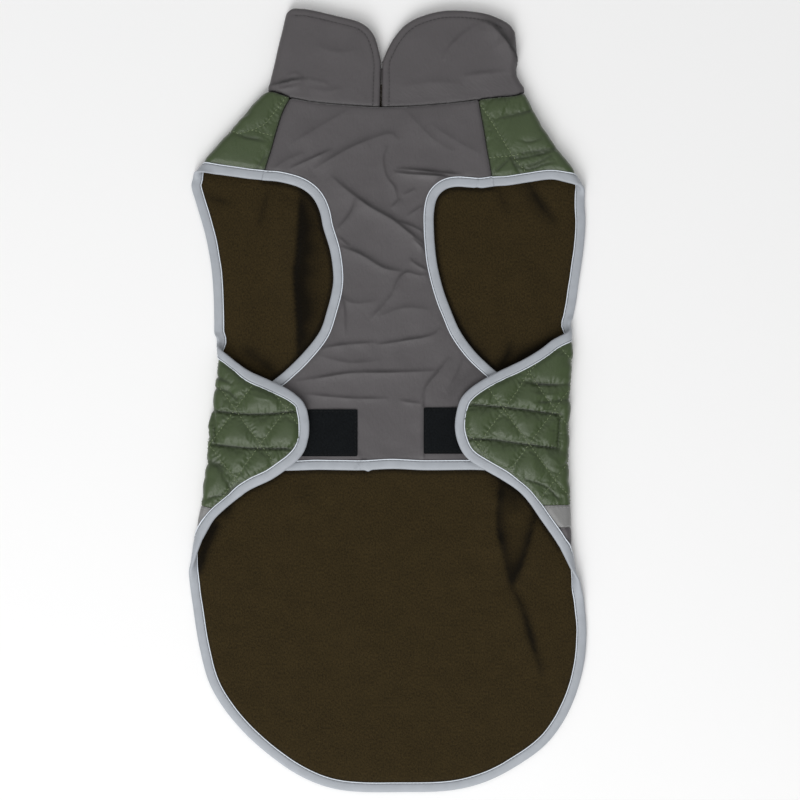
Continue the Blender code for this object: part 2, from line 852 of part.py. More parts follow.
def finish(name, mesh_builder, collection, colour, roughness):
    """Makes the object of a finished bmesh, with faces out and its own material."""
    bmesh.ops.triangulate(mesh_builder, faces=mesh_builder.faces[:])
    bmesh.ops.recalc_face_normals(mesh_builder, faces=mesh_builder.faces[:])
    if mesh_builder.calc_volume(signed=True) < 0.0:
        bmesh.ops.reverse_faces(mesh_builder, faces=mesh_builder.faces[:])
    mesh = bpy.data.meshes.new(name)
    mesh_builder.to_mesh(mesh)
    mesh_builder.free()
    mesh.shade_smooth()
    mesh.set_sharp_from_angle(angle=math.radians(40))
    made = bpy.data.objects.new(name, mesh)
    made.data.materials.append(material(name, colour, roughness))
    collection.objects.link(made)
    return made


def cloth(name, outline, spots, place, collection, colour, roughness):
    """Cuts a cloth to its outline and gives it two faces: place(point, face) puts each corner."""
    inner = clear_spots(spots, outline, (), LEAST_STEP)
    edges = [(index, (index + 1) % len(outline)) for index in range(len(outline))]
    points, _, faces, _, _, _ = delaunay_2d_cdt(outline + inner, edges, [], 1, 0.0001)
    flat = bmesh.new()
    corners = [flat.verts.new((point.x, point.y, 0.0)) for point in points]
    for face in faces:
        flat.faces.new([corners[index] for index in face])
    raised = bmesh.ops.extrude_face_region(flat, geom=flat.faces[:])["geom"]
    outer_face = {item for item in raised if isinstance(item, bmesh.types.BMVert)}
    for corner in flat.verts:
        corner.co = place(corner.co.to_2d(), corner in outer_face) * MM
    return finish(name, flat, collection, colour, roughness)


def tape(name, edge, ways, place, collection, colour, roughness):
    """A tape along an edge: the same section at each point, outer edge first, and two flat ends."""
    band = bmesh.new()
    section = [(inset, half) for inset, half in BINDING_ROWS]
    section += [(inset, -half) for inset, half in BINDING_ROWS[::-1]]
    rings = []
    for point, way in zip(edge, ways):
        ring = [band.verts.new(place(point + way * inset, outer) * MM) for inset, outer in section]
        rings.append(ring)
    for first, second in zip(rings, rings[1:]):
        for index in range(len(section)):
            after = (index + 1) % len(section)
            band.faces.new((first[index], first[after], second[after], second[index]))
    band.faces.new(rings[0])
    band.faces.new(rings[-1][::-1])
    return finish(name, band, collection, colour, roughness)


def part_of(edge, ways, start, end):
    """The stretch of an edge between two stations, drawn back a little from its neighbours."""
    line = edge[start:end + 1]
    line[0] = line[0] + (line[1] - line[0]).normalized() * SEAM / 2
    line[-1] = line[-1] + (line[-2] - line[-1]).normalized() * SEAM / 2
    return line, ways[start:end + 1]


def station_nearest(edge, point):
    """The station of an edge that lies nearest to a point."""
    return min(range(len(edge)), key=lambda index: (edge[index] - Vector(point)).length)


# ---- The pieces ----

def make_coat(collection):
    """Quilted shell, reflective tape, tail shell, fleece and the binding round them."""
    edge = coat_edge()
    left_seam, neck, right_seam = coat_seams()
    edge, ways = bound_edge(edge, right_seam, left_seam)
    loop = sewn_loop(edge, ways, [left_seam, neck, right_seam], SIDES)
    bends = bend_spots(SIDES)
    flaps = quilt_spots()
    low = Vector((-165.0, -320.0))
    high = Vector((165.0, 260.0))
    rim = loop + loop[:1]
    bands = band_spots(REFLECTIVE_TOP) + band_spots(REFLECTIVE_BOTTOM)
    levels = (REFLECTIVE_TOP, REFLECTIVE_BOTTOM)
    bends = clear_spots(bends + flaps, loop, levels)

    def shell_place(point, outside):
        outer = SEAM / 2 + (WALL if outside else 0.0)
        if outside:
            outer += quilt_loft(point, rim)
        return place_coat(point, outer)

    def fleece_place(point, inside):
        outer = -SEAM / 2 - (WALL if inside else 0.0)
        from_rim = distance_to_line(point, rim) - FLEECE_FOLD_START
        lift = fold_height(FLEECE_FOLDS, point) * eased(from_rim / FLEECE_FOLD_RAMP)
        return place_coat(point, outer, lift * clear_of_chest(point))

    shell_spots = clear_spots(hexagon_spots(SHELL_PITCH, low, high), loop, levels)
    shell_spots = [p for p in shell_spots if is_flat(p, SIDES, SHELL_BEND_MARGIN)]
    band = cut_below(cut_above(loop, REFLECTIVE_BOTTOM + SEAM / 2), REFLECTIVE_TOP - SEAM / 2)
    for name, part, colour, roughness in (
        ("shell_quilted", cut_above(loop, REFLECTIVE_TOP + SEAM / 2), GREEN_NYLON, 0.45),
        ("reflective_tape", band, REFLECTIVE, 0.4),
        ("shell_tail", cut_below(loop, REFLECTIVE_BOTTOM - SEAM / 2), GREY_NYLON, 0.55),
    ):
        outline = filled(with_crossings(part, bands))
        cloth(name, outline, bends + shell_spots, shell_place, collection, colour, roughness)
    fleece_spots = clear_spots(hexagon_spots(FLEECE_PITCH, low, high), loop, levels)
    fleece_spots = [p for p in fleece_spots if is_flat(p, SIDES, FLEECE_BEND_MARGIN)]
    outline = with_levels(loop, levels)
    cloth("lining_fleece", outline, bends + bands + fleece_spots, fleece_place, collection, FLEECE, 0.95)

    joins = [
        0,
        station_nearest(edge, RIGHT_ARMHOLE[2]),
        station_nearest(edge, SIDES["right_side"].unfold(RIGHT_WING[8])),
        station_nearest(edge, HEM[4]),
        station_nearest(edge, HEM[13]),
        station_nearest(edge, SIDES["left_side"].unfold(LEFT_WING[9])),
        station_nearest(edge, LEFT_ARMHOLE[4]),
        len(edge) - 1,
    ]
    names = ["armhole_right", "wing_right_top", "wing_right_side", "hem", "wing_left_side", "wing_left_top",
             "armhole_left"]
    for name, start, end in zip(names, joins, joins[1:]):
        line, directions = part_of(edge, ways, start, end)
        tape("binding_" + name, line, directions, place_coat, collection, SILVER_TAPE, 0.5)


def quilt_loft(point, rim):
    """How far the outer face of the shell stands up in its diamonds; none on the side that rests."""
    for name, fold in SIDES.items():
        along, past = fold.split(point)
        if fold.angle(along) <= 0.0 or past <= 0.0:
            continue
        plan = fold.unfold(point)
        first, second = quilt_place(name, plan)
        puff = abs(math.sin(math.pi * first) * math.sin(math.pi * second)) ** PUFF
        over_bend = eased(past / (HALF_TURN * fold.radius) - 0.5)
        in_green = eased((point.y - REFLECTIVE_TOP) / PUFF_BAND)
        return LOFT * puff * over_bend * in_green * eased(distance_to_line(point, rim) / PUFF_RIM)
    return 0.0


def clear_of_chest(point):
    """0 under the chest panel and the collar, 1 where the fleece shows."""
    chest = [Vector(row) for row in CHEST_EDGE] + [Vector(row) for row in LEFT_SEAM[::-1] + RIGHT_SEAM]
    if is_inside(point, chest):
        return 0.0
    return eased((distance_to_line(point, chest + chest[:1]) - FLEECE_CHEST_START) / FLEECE_FOLD_RAMP)


def make_chest(collection):
    """Chest panel, the binding round it and the two hook tapes on it."""
    edge = stepped(CHEST_EDGE, {})
    left_seam = stepped(LEFT_SEAM[::-1], {})
    neck = stepped(CHEST_NECK, {})
    right_seam = stepped(RIGHT_SEAM, {})
    edge, ways = bound_edge(edge, right_seam, left_seam)
    loop = sewn_loop(edge, ways, [left_seam, neck, right_seam], {})
    rim = loop + loop[:1]

    def place(point, outer, folds=1.0):
        level = chest_level(point) + folds * fold_height(CHEST_FOLDS, point)
        return Vector((point.x, point.y, level + outer))

    def panel_place(point, outside):
        fade = eased(distance_to_line(point, rim) / CHEST_FOLD_RAMP)
        return place(point, CHEST_WALL / 2 if outside else -CHEST_WALL / 2, fade)

    def binding_place(point, outer):
        return place(point, outer, 0.0)

    def hook_place(point, outside):
        return place(point, CHEST_WALL / 2 + SEAM + (TAPE_WALL if outside else 0.0), 0.0)

    spots = hexagon_spots(CHEST_PITCH, Vector((-120.0, -60.0)), Vector((120.0, 245.0)))
    spots = [p for p in spots if p.y > CHEST_CREASED or round(p.y / CHEST_PITCH) % CHEST_ROW_STEP == 0]
    spots = clear_spots(spots, loop, ())
    cloth("chest_panel", loop, spots, panel_place, collection, GREY_NYLON, 0.5)
    joins = [0, station_nearest(edge, CHEST_EDGE[19]), station_nearest(edge, CHEST_EDGE[27]), len(edge) - 1]
    for name, start, end in zip(["chest_right", "chest_hem", "chest_left"], joins, joins[1:]):
        line, directions = part_of(edge, ways, start, end)
        tape("binding_" + name, line, directions, binding_place, collection, SILVER_TAPE, 0.5)
    for name, box in HOOK_TAPES.items():
        cloth(name, rectangle(box), [], hook_place, collection, BLACK_TAPE, 0.9)


def rectangle(box):
    """The closed outline of a tape, clockwise, in steps."""
    left, right, low, high = box
    corners = [Vector((left, low)), Vector((left, high)), Vector((right, high)), Vector((right, low))]
    return filled(corners)


def make_loop_tapes(collection):
    """The tapes sewn inside the wings, which the hook tapes hold."""
    def loop_place(point, inside):
        return place_coat(point, -SEAM / 2 - WALL - SEAM - (TAPE_WALL if inside else 0.0))

    for name, (fold, box) in LOOP_TAPES.items():
        outline = [SIDES[fold].unfold(point) for point in rectangle(box)]
        cloth(name, outline, [], loop_place, collection, BLACK_TAPE, 0.9)


def make_collar(collection):
    """The collar strip: nylon outside, plush inside, folded at both sides of the neck."""
    neck = turned(COLLAR["left"], CHEST_NECK[:4][::-1] + [(-84.5, 243.8), (-89.5, 245.9)])
    neck.append(COLLAR["left"].crest(COLLAR_LEFT_NECK_TURN))
    neck += laid(BACK_NECK)
    neck.append(COLLAR["right"].crest(COLLAR_RIGHT_NECK_TURN))
    neck += turned(COLLAR["right"], [(102.0, 242.9), (88.0, 241.6)] + CHEST_NECK[:2:-1])
    neck = stepped(neck, COLLAR)
    neck = moved_in(neck, inward(neck), -SEAM / 2)
    right_slit = stepped(turned(COLLAR["right"], COLLAR_RIGHT_SLIT), COLLAR)
    right_top = turned(COLLAR["right"], COLLAR_RIGHT_TOP) + [COLLAR["right"].crest(COLLAR_RIGHT_CORNER)]
    left_top = [COLLAR["left"].crest(COLLAR_LEFT_CORNER)] + turned(COLLAR["left"], COLLAR_LEFT_TOP[::-1])
    top = stepped(right_top + laid(COLLAR_BACK_TOP) + left_top, COLLAR)
    left_slit = stepped(turned(COLLAR["left"], COLLAR_LEFT_SLIT[::-1]), COLLAR)
    loop = without_near(neck[1:-1] + right_slit[:-1] + top[:-1] + left_slit, 1.0)
    spots = bend_spots(COLLAR)
    crests = [(fold, HALF_TURN * fold.radius / 2) for fold in COLLAR.values()]
    spots += [p for p in hexagon_spots(COLLAR_PITCH, Vector((-330.0, 200.0)), Vector((330.0, 420.0)))
              if all(abs(fold.split(p)[1] - crest) > COLLAR_BEND_MARGIN for fold, crest in crests)]

    def shell_place(point, outside):
        return place_collar(point, SEAM / 2 + (COLLAR_WALL if outside else 0.0))

    def plush_place(point, inside):
        return place_collar(point, -SEAM / 2 - (PLUSH_WALL if inside else 0.0))

    spots = clear_spots(spots, loop, ())
    cloth("collar_shell", loop, spots, shell_place, collection, GREY_NYLON, 0.5)
    cloth("collar_plush", loop, spots, plush_place, collection, PLUSH, 0.95)


def main():
    for item in list(bpy.data.objects):
        bpy.data.objects.remove(item, do_unlink=True)
    collection = bpy.data.collections.new("dog_winter_coat")
    bpy.context.scene.collection.children.link(collection)
    make_coat(collection)
    make_chest(collection)
    make_loop_tapes(collection)
    make_collar(collection)


main()
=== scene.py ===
"""The looks of a dog's winter coat, laid flat on its back with the belly side up.

Each cloth is cut flat, as its maker cuts it, and then folded over rounded bends, as the solids are. The
file is laid out as an add-on: one operator makes each piece or group of like pieces, and a panel lists
them. Lengths in the tables are in millimetres. +Y runs from tail to collar, and z = 0 is the floor.
"""

import math

import bpy
import numpy as np
from bpy.props import FloatProperty, FloatVectorProperty, PointerProperty
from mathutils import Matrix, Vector, noise
from mathutils.geometry import delaunay_2d_cdt
from mathutils.kdtree import KDTree


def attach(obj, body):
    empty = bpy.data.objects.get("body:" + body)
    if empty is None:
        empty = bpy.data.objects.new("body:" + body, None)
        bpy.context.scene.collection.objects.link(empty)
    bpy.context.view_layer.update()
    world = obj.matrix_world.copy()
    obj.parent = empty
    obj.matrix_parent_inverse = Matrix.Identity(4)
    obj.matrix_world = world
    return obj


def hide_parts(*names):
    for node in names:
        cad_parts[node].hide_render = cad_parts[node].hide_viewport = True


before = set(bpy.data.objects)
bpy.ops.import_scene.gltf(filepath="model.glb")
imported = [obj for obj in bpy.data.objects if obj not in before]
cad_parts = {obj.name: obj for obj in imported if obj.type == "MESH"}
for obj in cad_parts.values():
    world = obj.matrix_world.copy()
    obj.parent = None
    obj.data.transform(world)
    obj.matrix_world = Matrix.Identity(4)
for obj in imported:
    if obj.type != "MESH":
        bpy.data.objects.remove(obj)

bl_info = {
    "name": "Dog winter coat",
    "version": (1, 0, 0),
    "blender": (4, 5, 0),
    "location": "View3D > Sidebar > Coat",
    "description": "Makes the cloth, tapes and stitching of a dog's winter coat",
    "category": "Object",
}

MM = 0.001
WANDER_VALUES = 4096
NOISE_GAIN = 1.6  # makes Blender's noise run from about -1 to 1
CREASE_SHARP = 1.15  # power of a crease's sides: 1 is a sharp ridge, and 2 a round one
SHADE_SHARP = 1.3
CREASE_FADE = 4.2  # how soon a crease reaches its full height from its ends
CREASE_FADE_POWER = 0.7
CREASE_UNEVEN = 0.25  # share of its height that changes along it
CREASE_STEP = 9.0

# ---- Sizes that the solids share, in millimetres ----

WALL = 2.0
SEAM = 0.3
CHEST_WALL = 2.2
COLLAR_WALL = 1.5
PLUSH_WALL = 2.5
TAPE_WALL = 1.2
SIDE_RADIUS = 3.9
COLLAR_RADIUS = 3.2
LINING_LEVEL = WALL + SEAM / 2
COLLAR_LEVEL = COLLAR_WALL + SEAM / 2
WING_RISE = 3.05
WING_RAMP = 22.0
WING_TOP = 120.0
WING_RISE_ROWS = [(-76.0, 0.4), (-50.0, 1.0), (0.0, 1.0), (26.0, 0.4)]
SHOULDER_DROP = 1.0
SHOULDER_RAMP = 30.0
REFLECTIVE_TOP = -84.0
REFLECTIVE_BOTTOM = -102.0
CHEST_LEVEL_ROWS = [(50.0, 6.3), (120.0, 7.0), (190.0, 8.2), (235.0, 8.6)]
CHEST_SEAM_LEVEL = 9.3
CHEST_SEAM_REACH = 30.0

# ---- Sizes of what the needle and the cloth add ----

CLOTH_PITCH = 2.6  # between corners of a cloth that lies still
FLAP_PITCH = 1.1  # and of a quilted flap
BACK_PITCH = 2.2
CHEST_PITCH = 1.3
COLLAR_PITCH = 1.5
HIDDEN_PITCH = 6.0  # of a cloth's hidden face
FINE_START = -3.0  # past a bend's start, where the shell's corners lie as close as a flap's
COARSE_END = -4.0
HIDDEN_START = -8.0  # and where those of the hidden faces lie as close as a cloth's
LEAST_TURN = 0.05  # of a bend, in radians
ROW_END = -1.0  # past a bend's start, where the back's rows of quilting end
EDGE_STEP = 1.6  # along an edge or a seam
FLAP_EDGE_STEP = 5.0  # between the points that a flap's edge is unfolded from
END_STEPS = 10  # over which an edge's direction inwards turns to that of the seam at its end
LEAST_SIDE = 0.6  # of an outline
LEVEL_STEP = 3.0  # along the seams across the back
LEVEL_WAVES = [(0.2, 11.0, 8)]  # height, step and seed of how uneven they are
LEAST_GAP = 0.8  # between a corner and an edge or a crease
TAPE_PITCH = 1.2  # between corners of a hook tape
LOOP_PITCH = 1.6  # and of a loop tape, which the wing hides
TUCK = 7.0  # how far from the coat's edge a cloth ends, inside the binding
TUCKED = 0.75  # half the thickness to which the binding pinches a cloth
TUCK_START = 0.6
TUCK_REACH = 5.0
TUCK_SLACK = 0.25  # how much nearer to the edge an outline's corner may lie
SEAM_CLEAR = 1.0  # from the end of a cloth's seam to its outline's next corner
SEAM_RUN = 5  # how many corners of a seam give its direction at its end
SEAM_ROLL = 0.9  # how far a cloth rolls down at a sewn seam
SEAM_ROLL_REACH = 1.2
BAND_ROLL = 0.8  # share of that beside the reflective band
SEAM_DEPTH = 1.9  # how deep the stitches that hold a loop tape pull the shell
WRINKLE_DEPTH = 0.4  # how deep a wrinkle is
GROOVE = 1.1  # half the width of both
RIM_REACH = 8.0  # from a cloth's edge to where its quilting stands up in full
VALLEY_DEPTH = 1.1  # of the quilting on the side that the coat lies on
VALLEY_SLOPE = 0.6  # how fast a valley there gets shallower as the loft grows
TURN_START = -2.0  # past a bend's start, where the quilting begins to stand up
TURN_REACH = 9.0
SHELL_CREST = 0.9  # how far the shell keeps inside its bends, where its diamonds stand up again
CREST_REACH = 7.0
CREST_LOFT = 0.6  # share of the loft that is left there
SHOULDER_LOFT = 0.6  # and on the shoulders
SHOULDER_MIDDLE = 210.0
SHOULDER_SPAN = 45.0
SCALLOP = 0.8  # how far the quilting scallops a bend's outermost line
SCALLOP_STEP = 16.0
SCALLOP_SWAY = (2.0, 24.0, 3)  # how far, in radians, one is off its place, over what step, and the seed
SCALLOP_MEAN = 0.6  # share of a scallop that lies inside the plain bend
SCALLOP_LESS = 0.6  # how much weaker the scallops of the shoulders are
SHOULDER_START = 150.0  # the y past which a fold is a shoulder's
PUCKER = 0.50  # how high the stitches gather the shell beside them
PUCKER_STEP = 3.1
PUCKER_SWAY = 2.2  # how far, in radians, one pucker is off its place
PUCKER_SWAY_STEP = 8.0
PUCKER_LEAST = 0.35  # share of their height where they are lowest
PUCKER_LEAST_STEP = 15.0
PUCKER_REACH = 2.4
PUCKER_REACH_STEP = 5.0
PUCKER_START = 0.9  # from a row to where they reach their height
PUCKER_SHARP = 1.5
PUCKER_SEEDS = (21, 51)  # of the quilting, and of the loop tapes' seams
COLLAR_ROUNDING = 1.8  # how wide the collar's free edge is rounded
COLLAR_EDGE = 0.3  # share of its thickness that is left there
COLLAR_LIFT = 0.6  # share of its creases that lifts the whole collar, and not its outer cloth alone
COLLAR_LIFT_SHARP = 1.8
COLLAR_LIFT_REACH = 12.0
COLLAR_RELIEF = 0.8  # and the share that lifts the outer cloth
TOPSTITCH_WIDTH = 0.9  # of the groove that its topstitching presses
TOPSTITCH_DEPTH = 0.35
CHEST_RELIEF = 1.5  # how much higher the chest panel's creases stand than their table says
CHEST_RELIEF_REACH = 4.0  # from the binding to where they stand up in full
CREASE_SIDES = 1.1  # how many least gaps a crease's side rows of corners lie beside it
CHEST_STEP = 2.0  # along the chest panel's rough outline, as the fleece below it knows it
FOLD_START = 2.0  # from the binding or the chest panel to where the fleece begins to fold
FOLD_REACH = 14.0  # and how far on it folds in full
FOLD_SHARP = 2.0
RIPPLE_REACH = 5.0  # from the binding to where the fleece ripples in full
SWELL_REACH = 20.0
FLEECE_RIPPLES = [(0.15, 4.6, 2.0), (0.25, 13.0, 6.0)]  # height, step and seed
FLEECE_SWELL = [(0.9, 52.0, 9.0)]
CHEST_RIPPLES = [(0.36, 26.0, 4.0), (0.12, 11.0, 5.0)]
COLLAR_RIPPLES = [(0.25, 23.0, 7.0)]
PLUSH_RIPPLES = [(0.25, 3.0, 2.0)]
DIAMOND_HALF_WIDTH = 20.5
DIAMOND_HALF_HEIGHT = 28.0
QUILT_SPAN = 340.0  # half the length of a row of quilting before it is trimmed
QUILT_ROWS = 14  # how many rows there are on each side of the first
QUILT_SWAY = 0.6  # how far a row is sewn off its line
QUILT_SWAY_STEP = 17.0
FLAP_SEED = 7
BACK_SEED = 11

# ---- How the wadding blows up the shell between its stitches ----

BLOWN_SCALE = 0.01  # the cloth is blown up at ten times its size
BLOWN_FRAMES = 40
BLOWN_STEPS = 4  # in each frame
BLOWN_PRESSURE = 14.0
BLOWN_SPARE = 0.034  # share of cloth that the needle gathers up
BLOWN_STIFFNESS = 15.0
BLOWN_BENDING = 0.25
BLOWN_DAMPING = 2.0
HELD_GAP = 0.05  # from a corner to the stitches or the edge that hold it
FULL_LOFT = 2.6  # how far the diamonds stand up once they are blown up
HIGHEST_LOFT = 3.8
WING_LOFT = 1.3  # how much higher the diamonds of the wings stand

# ---- Binding, stitches and pile ----

COAT_BINDING_START = 0.3  # from the coat's edge to the fold of its binding
CHEST_BINDING_START = 1.1
GROOVE_SHARE = 0.865  # how far across the binding it is sewn
# half the width of the painted shade in the binding's sewn groove
GROOVE_SHADE_HALF_WIDTH = 0.28
LIP_SHARE = 0.90  # where its pale lip starts
COLLAR_STITCH_INSET = 5.6
TAPE_STITCH_INSET = 1.8
BAND_STITCH_INSET = 1.8
BINDING_STITCH_LEVEL = 1.25  # how high the stitches lie in the binding's groove
TAPE_STITCH_WIDTH = 0.8  # of the groove that its stitches press
TAPE_STITCH_DEPTH = 0.4
TAPE_CORNER = 1.0  # radius of a tape's corners
CORNER_STEPS = 4
TAPE_EDGE = 0.55  # share of its thickness that is left at its edge
TAPE_EDGE_REACH = 0.9
PILE_THICKNESS = 0.15
STRAND_STEP = 0.32  # between two strands of pile at the collar's edge
STRAND_SEED = 12
STRAND_SHARES = (0.35, 0.45, 9.0, 31)  # of those that show: least, how much more, step and seed
STRAND_ROOTS = (0.2, 1.2)  # how far inside the edge they begin
STRAND_SHORTER = ((0.35, 1.0), (0.3, 1.0))  # two shares that shorten them
STRAND_LEAN = 0.9
STRAND_BEND = 0.25
STRAND_MIDDLE = 0.8  # share of the thickness half way along
STITCH_GAP = 0.8  # between two stitches
BINDING_STITCH_GAP = 0.9
QUILT_STITCH_GAP = 1.2
QUILT_STITCH_SHARE = 0.8  # how long and thick the quilting's stitches are, and how slanted
QUILT_THREAD_SHARE = 1.4
QUILT_SLANT = 0.3
QUILT_STITCH_LEVEL = 0.15
VALLEY_END = 3.0  # past a bend's start, where the quilting's valleys end
LOOP_THREAD_SHARE = 1.3
LOOP_STITCH_LEVEL = 0.25
COLLAR_STITCH_SINK = 0.1
BAND_SPAN = 240.0  # more than half the reflective band's length
BAND_STITCH_CLEAR = 1.0
STITCH_RAISED = 0.35  # share of the thread by which a stitch's middle is raised
STITCH_SIDES = 5
STITCH_SHAPE = [(0.12, 0.75), (0.5, 1.0), (0.88, 0.75)]  # place on a stitch, and share of its thread
BINDING_WAVES = [(0.12, 9.0, 4), (0.06, 3.0, 5)]  # height, step and seed of how uneven it is
BINDING_SWAY = [(0.12, 12.0, 6)]  # and of how its inner edge wanders
BINDING_INNER = 5.0  # how far across it that begins
BINDING_END = 12.0  # length over which an end moves to meet the next tape
COAT_BINDING_ENDS = (0.50, 0.17)  # how far inwards and up the ends move
CHEST_BINDING_ENDS = (-0.40, -0.17)
CHEST_BINDING_SPARE = 0.5  # how many steps longer the chest's binding is at each end
JOIN_RIDGE = 0.9  # half the width of a ridge where two lengths are joined
JOIN_REACH = 2.0  # and of the edge that stands out there
JOIN_WIDTH = 9.5  # how far across the binding it stands out
CUT_WIDTH = 10.0  # how wide its finish takes the binding to be
BINDING_SECTION = [  # share of the width, and height over the cloth's middle
    (0.0, 0.0), (0.015, 0.6), (0.07, 1.2), (0.19, 1.55), (0.45, 1.75), (0.70, 1.72), (0.81, 1.55),
    (0.85, 1.2), (0.88, 1.2), (0.915, 1.6), (0.96, 1.75), (0.995, 1.5), (1.0, 1.15), (0.90, 0.9),
    (0.22, 0.88), (0.11, 0.6), (0.09, 0.0),
]
QUILT_CROSSINGS = {
    "left_side": (-101, -35),
    "right_side": (113, -35),
    "left_shoulder": (-116, 207),
    "right_shoulder": (99.5, 195),
}
BACK_CROSSING = (5, -10)

# ---- Outlines, as the folded coat lies: x, y ----

BACK_NECK = [(-91.5, 245.6), (-46, 251), (6, 253), (58, 250.5), (101.5, 243.6)]
LEFT_NECK_TURN = (-97.6, 246.2)
RIGHT_NECK_TURN = (109, 245.4)
LEFT_FRONT_NECK = [(-90.5, 245.8), (-84.5, 243.8), (-77.5, 241.5)]
RIGHT_FRONT_NECK = [(102, 242.9), (88, 241.6), (73, 240)]
CHEST_NECK = [
    (-77.5, 241.5), (-60, 238.5), (-40.5, 236.5), (-5.5, 234.3), (26.5, 235.5), (51, 237.5), (73, 240),
]
LEFT_SEAM = [(-77.5, 241.5), (-83, 232), (-88.5, 216), (-93, 200), (-97.5, 185.5), (-100.5, 175)]
RIGHT_SEAM = [(73, 240), (74, 232), (77, 216), (79.5, 200), (82.5, 184), (84.5, 170)]
LEFT_SHOULDER_EDGE = [(-143.5, 180.4), (-134, 179.6), (-118, 177.5), (-100.5, 175)]
LEFT_SHOULDER_TURN = (-156, 179.8)
RIGHT_SHOULDER_EDGE = [(84.5, 170), (98, 171.5), (114, 174), (130, 176), (142, 173.8)]
RIGHT_SHOULDER_TURN = (156, 167)
LEFT_ARMHOLE = [
    (-139.4, 54), (-139.5, 64), (-140, 84), (-141.5, 104), (-144, 120), (-147.5, 136), (-154.6, 160),
    (-157.8, 172),
]
RIGHT_ARMHOLE = [(158.5, 157.5), (159.2, 142), (157.5, 120), (153.5, 92), (151.5, 77.5), (149.3, 66)]
RIGHT_WING_TURN = (148.3, 58.5)
LEFT_WING_TURN = (-138.3, 45.5)
RIGHT_WING = [
    (131.2, 48), (120.8, 40), (107.2, 32), (90.4, 24), (75.2, 16), (64, 8), (57.6, 0), (53.7, -16),
    (54.2, -28), (58.4, -40), (64.8, -48), (77.2, -56), (91.2, -64), (103.2, -72), (111.2, -80),
    (122.4, -96), (133.6, -112), (138.4, -120),
]
LEFT_WING = [
    (-147.6, -112), (-138.4, -96), (-130.4, -88), (-120.8, -80), (-109.6, -72), (-92.8, -64), (-80.8, -56),
    (-71.2, -48), (-65.6, -40), (-62.4, -28), (-62.3, -16), (-64.4, -6.4), (-68, 0), (-77.6, 8),
    (-93.6, 16), (-111.2, 24), (-122.4, 32),
]
HEM = [
    (156.4, -145.5), (158.2, -162), (160, -188), (157, -217.5), (146.2, -249.4), (130.4, -273.6),
    (110.4, -290), (80.6, -306.2), (51.5, -313.7), (14, -315.2), (-32.5, -314.2), (-59.7, -307.2),
    (-86.4, -292), (-118.4, -264.1), (-141.2, -232.2), (-151, -200), (-157, -163), (-159.5, -144),
]
CHEST_EDGE = [
    (84.5, 170), (74, 168.3), (64.5, 169), (55, 169.5), (47, 167.5), (41, 161.5), (38.4, 151), (38.2, 138),
    (39, 124), (41, 108), (45.5, 89.5), (51.5, 73), (59, 56), (70.5, 40), (85.5, 25.5), (99.5, 14.5),
    (111, 1.5), (116, -16), (116, -36), (108.5, -51.5), (92, -57), (66, -57), (30, -57.3), (4, -56.3),
    (-22, -57.4), (-54, -57), (-91, -57.3), (-107.5, -52.5), (-115, -38), (-115.5, -20), (-111.5, -3),
    (-100.5, 9.5), (-83, 24), (-67, 40), (-55, 56), (-49.5, 72), (-45.5, 88), (-44.5, 100), (-47, 119),
    (-52.5, 137.5), (-55.5, 151), (-61, 161.5), (-70, 168.5), (-84, 172.8), (-100.5, 175),
]
COLLAR_LEFT_FRONT_NECK = [(-84.5, 243.8), (-89.5, 245.9)]
COLLAR_LEFT_NECK_TURN = (-96, 246.6)
COLLAR_RIGHT_NECK_TURN = (110, 245.9)
COLLAR_LEFT_SLIT = [(-6.2, 234.6), (-5.7, 254), (-5.4, 272)]
COLLAR_LEFT_TOP = [
    (-5.4, 272), (-10, 289.5), (-15.5, 297.5), (-23.5, 302.5), (-40.5, 307), (-64, 312.3), (-75, 313),
]
COLLAR_LEFT_CORNER = (-80.3, 310)
COLLAR_RIGHT_SLIT = [(-4.5, 234.6), (-4.2, 254), (-4, 270)]
COLLAR_RIGHT_TOP = [
    (-4, 270), (-0.5, 279), (5, 289), (13.5, 299), (24, 305.5), (43, 310.8), (61, 311.2), (79.5, 308.6),
    (89.5, 304.7), (96, 301.2),
]
COLLAR_RIGHT_CORNER = (102.3, 295.5)
COLLAR_BACK_TOP = [
    (96, 291.5), (86, 290), (72, 294), (42, 290), (18, 278), (-4, 266), (-26, 280), (-46, 294), (-72, 303),
]

# ---- Tapes: lowest x, highest x, lowest y, highest y ----

HOOK_TAPES = {
    "hook_tape_left": (-99, -24, -45, -7.5),
    "hook_tape_right": (29, 100, -43, -6),
}
LOOP_TAPES = {
    "loop_tape_left": ("left_side", (-105, -76, -38.5, -10.5)),
    "loop_tape_right": ("right_side", (69, 109, -39.5, -11.5)),
}

# ---- Lines that hold a loop tape, sewn through each wing ----

WING_SEAMS = {
    "left_side": [
        [(-66, -8.6), (-73.4, -9.1), (-92, -11), (-112.4, -11.4), (-139.7, -8.6)],
        [(-66, -39), (-72.9, -38.9), (-92, -38.8), (-112.4, -38.3), (-140, -35.4)],
        [(-138.5, -9), (-138, -36)],
    ],
    "right_side": [
        [(58, -3), (67.6, -3.6), (86, -5.2), (110, -8), (137.8, -11.8)],
        [(56, -30.4), (64.4, -30.8), (86, -32), (111.6, -35.6), (136.5, -38.6)],
        [(137.8, -11.8), (136.8, -24), (136, -38.4)],
    ],
}

# ---- Other rows of quilting and deep wrinkles, as the flaps lie ----

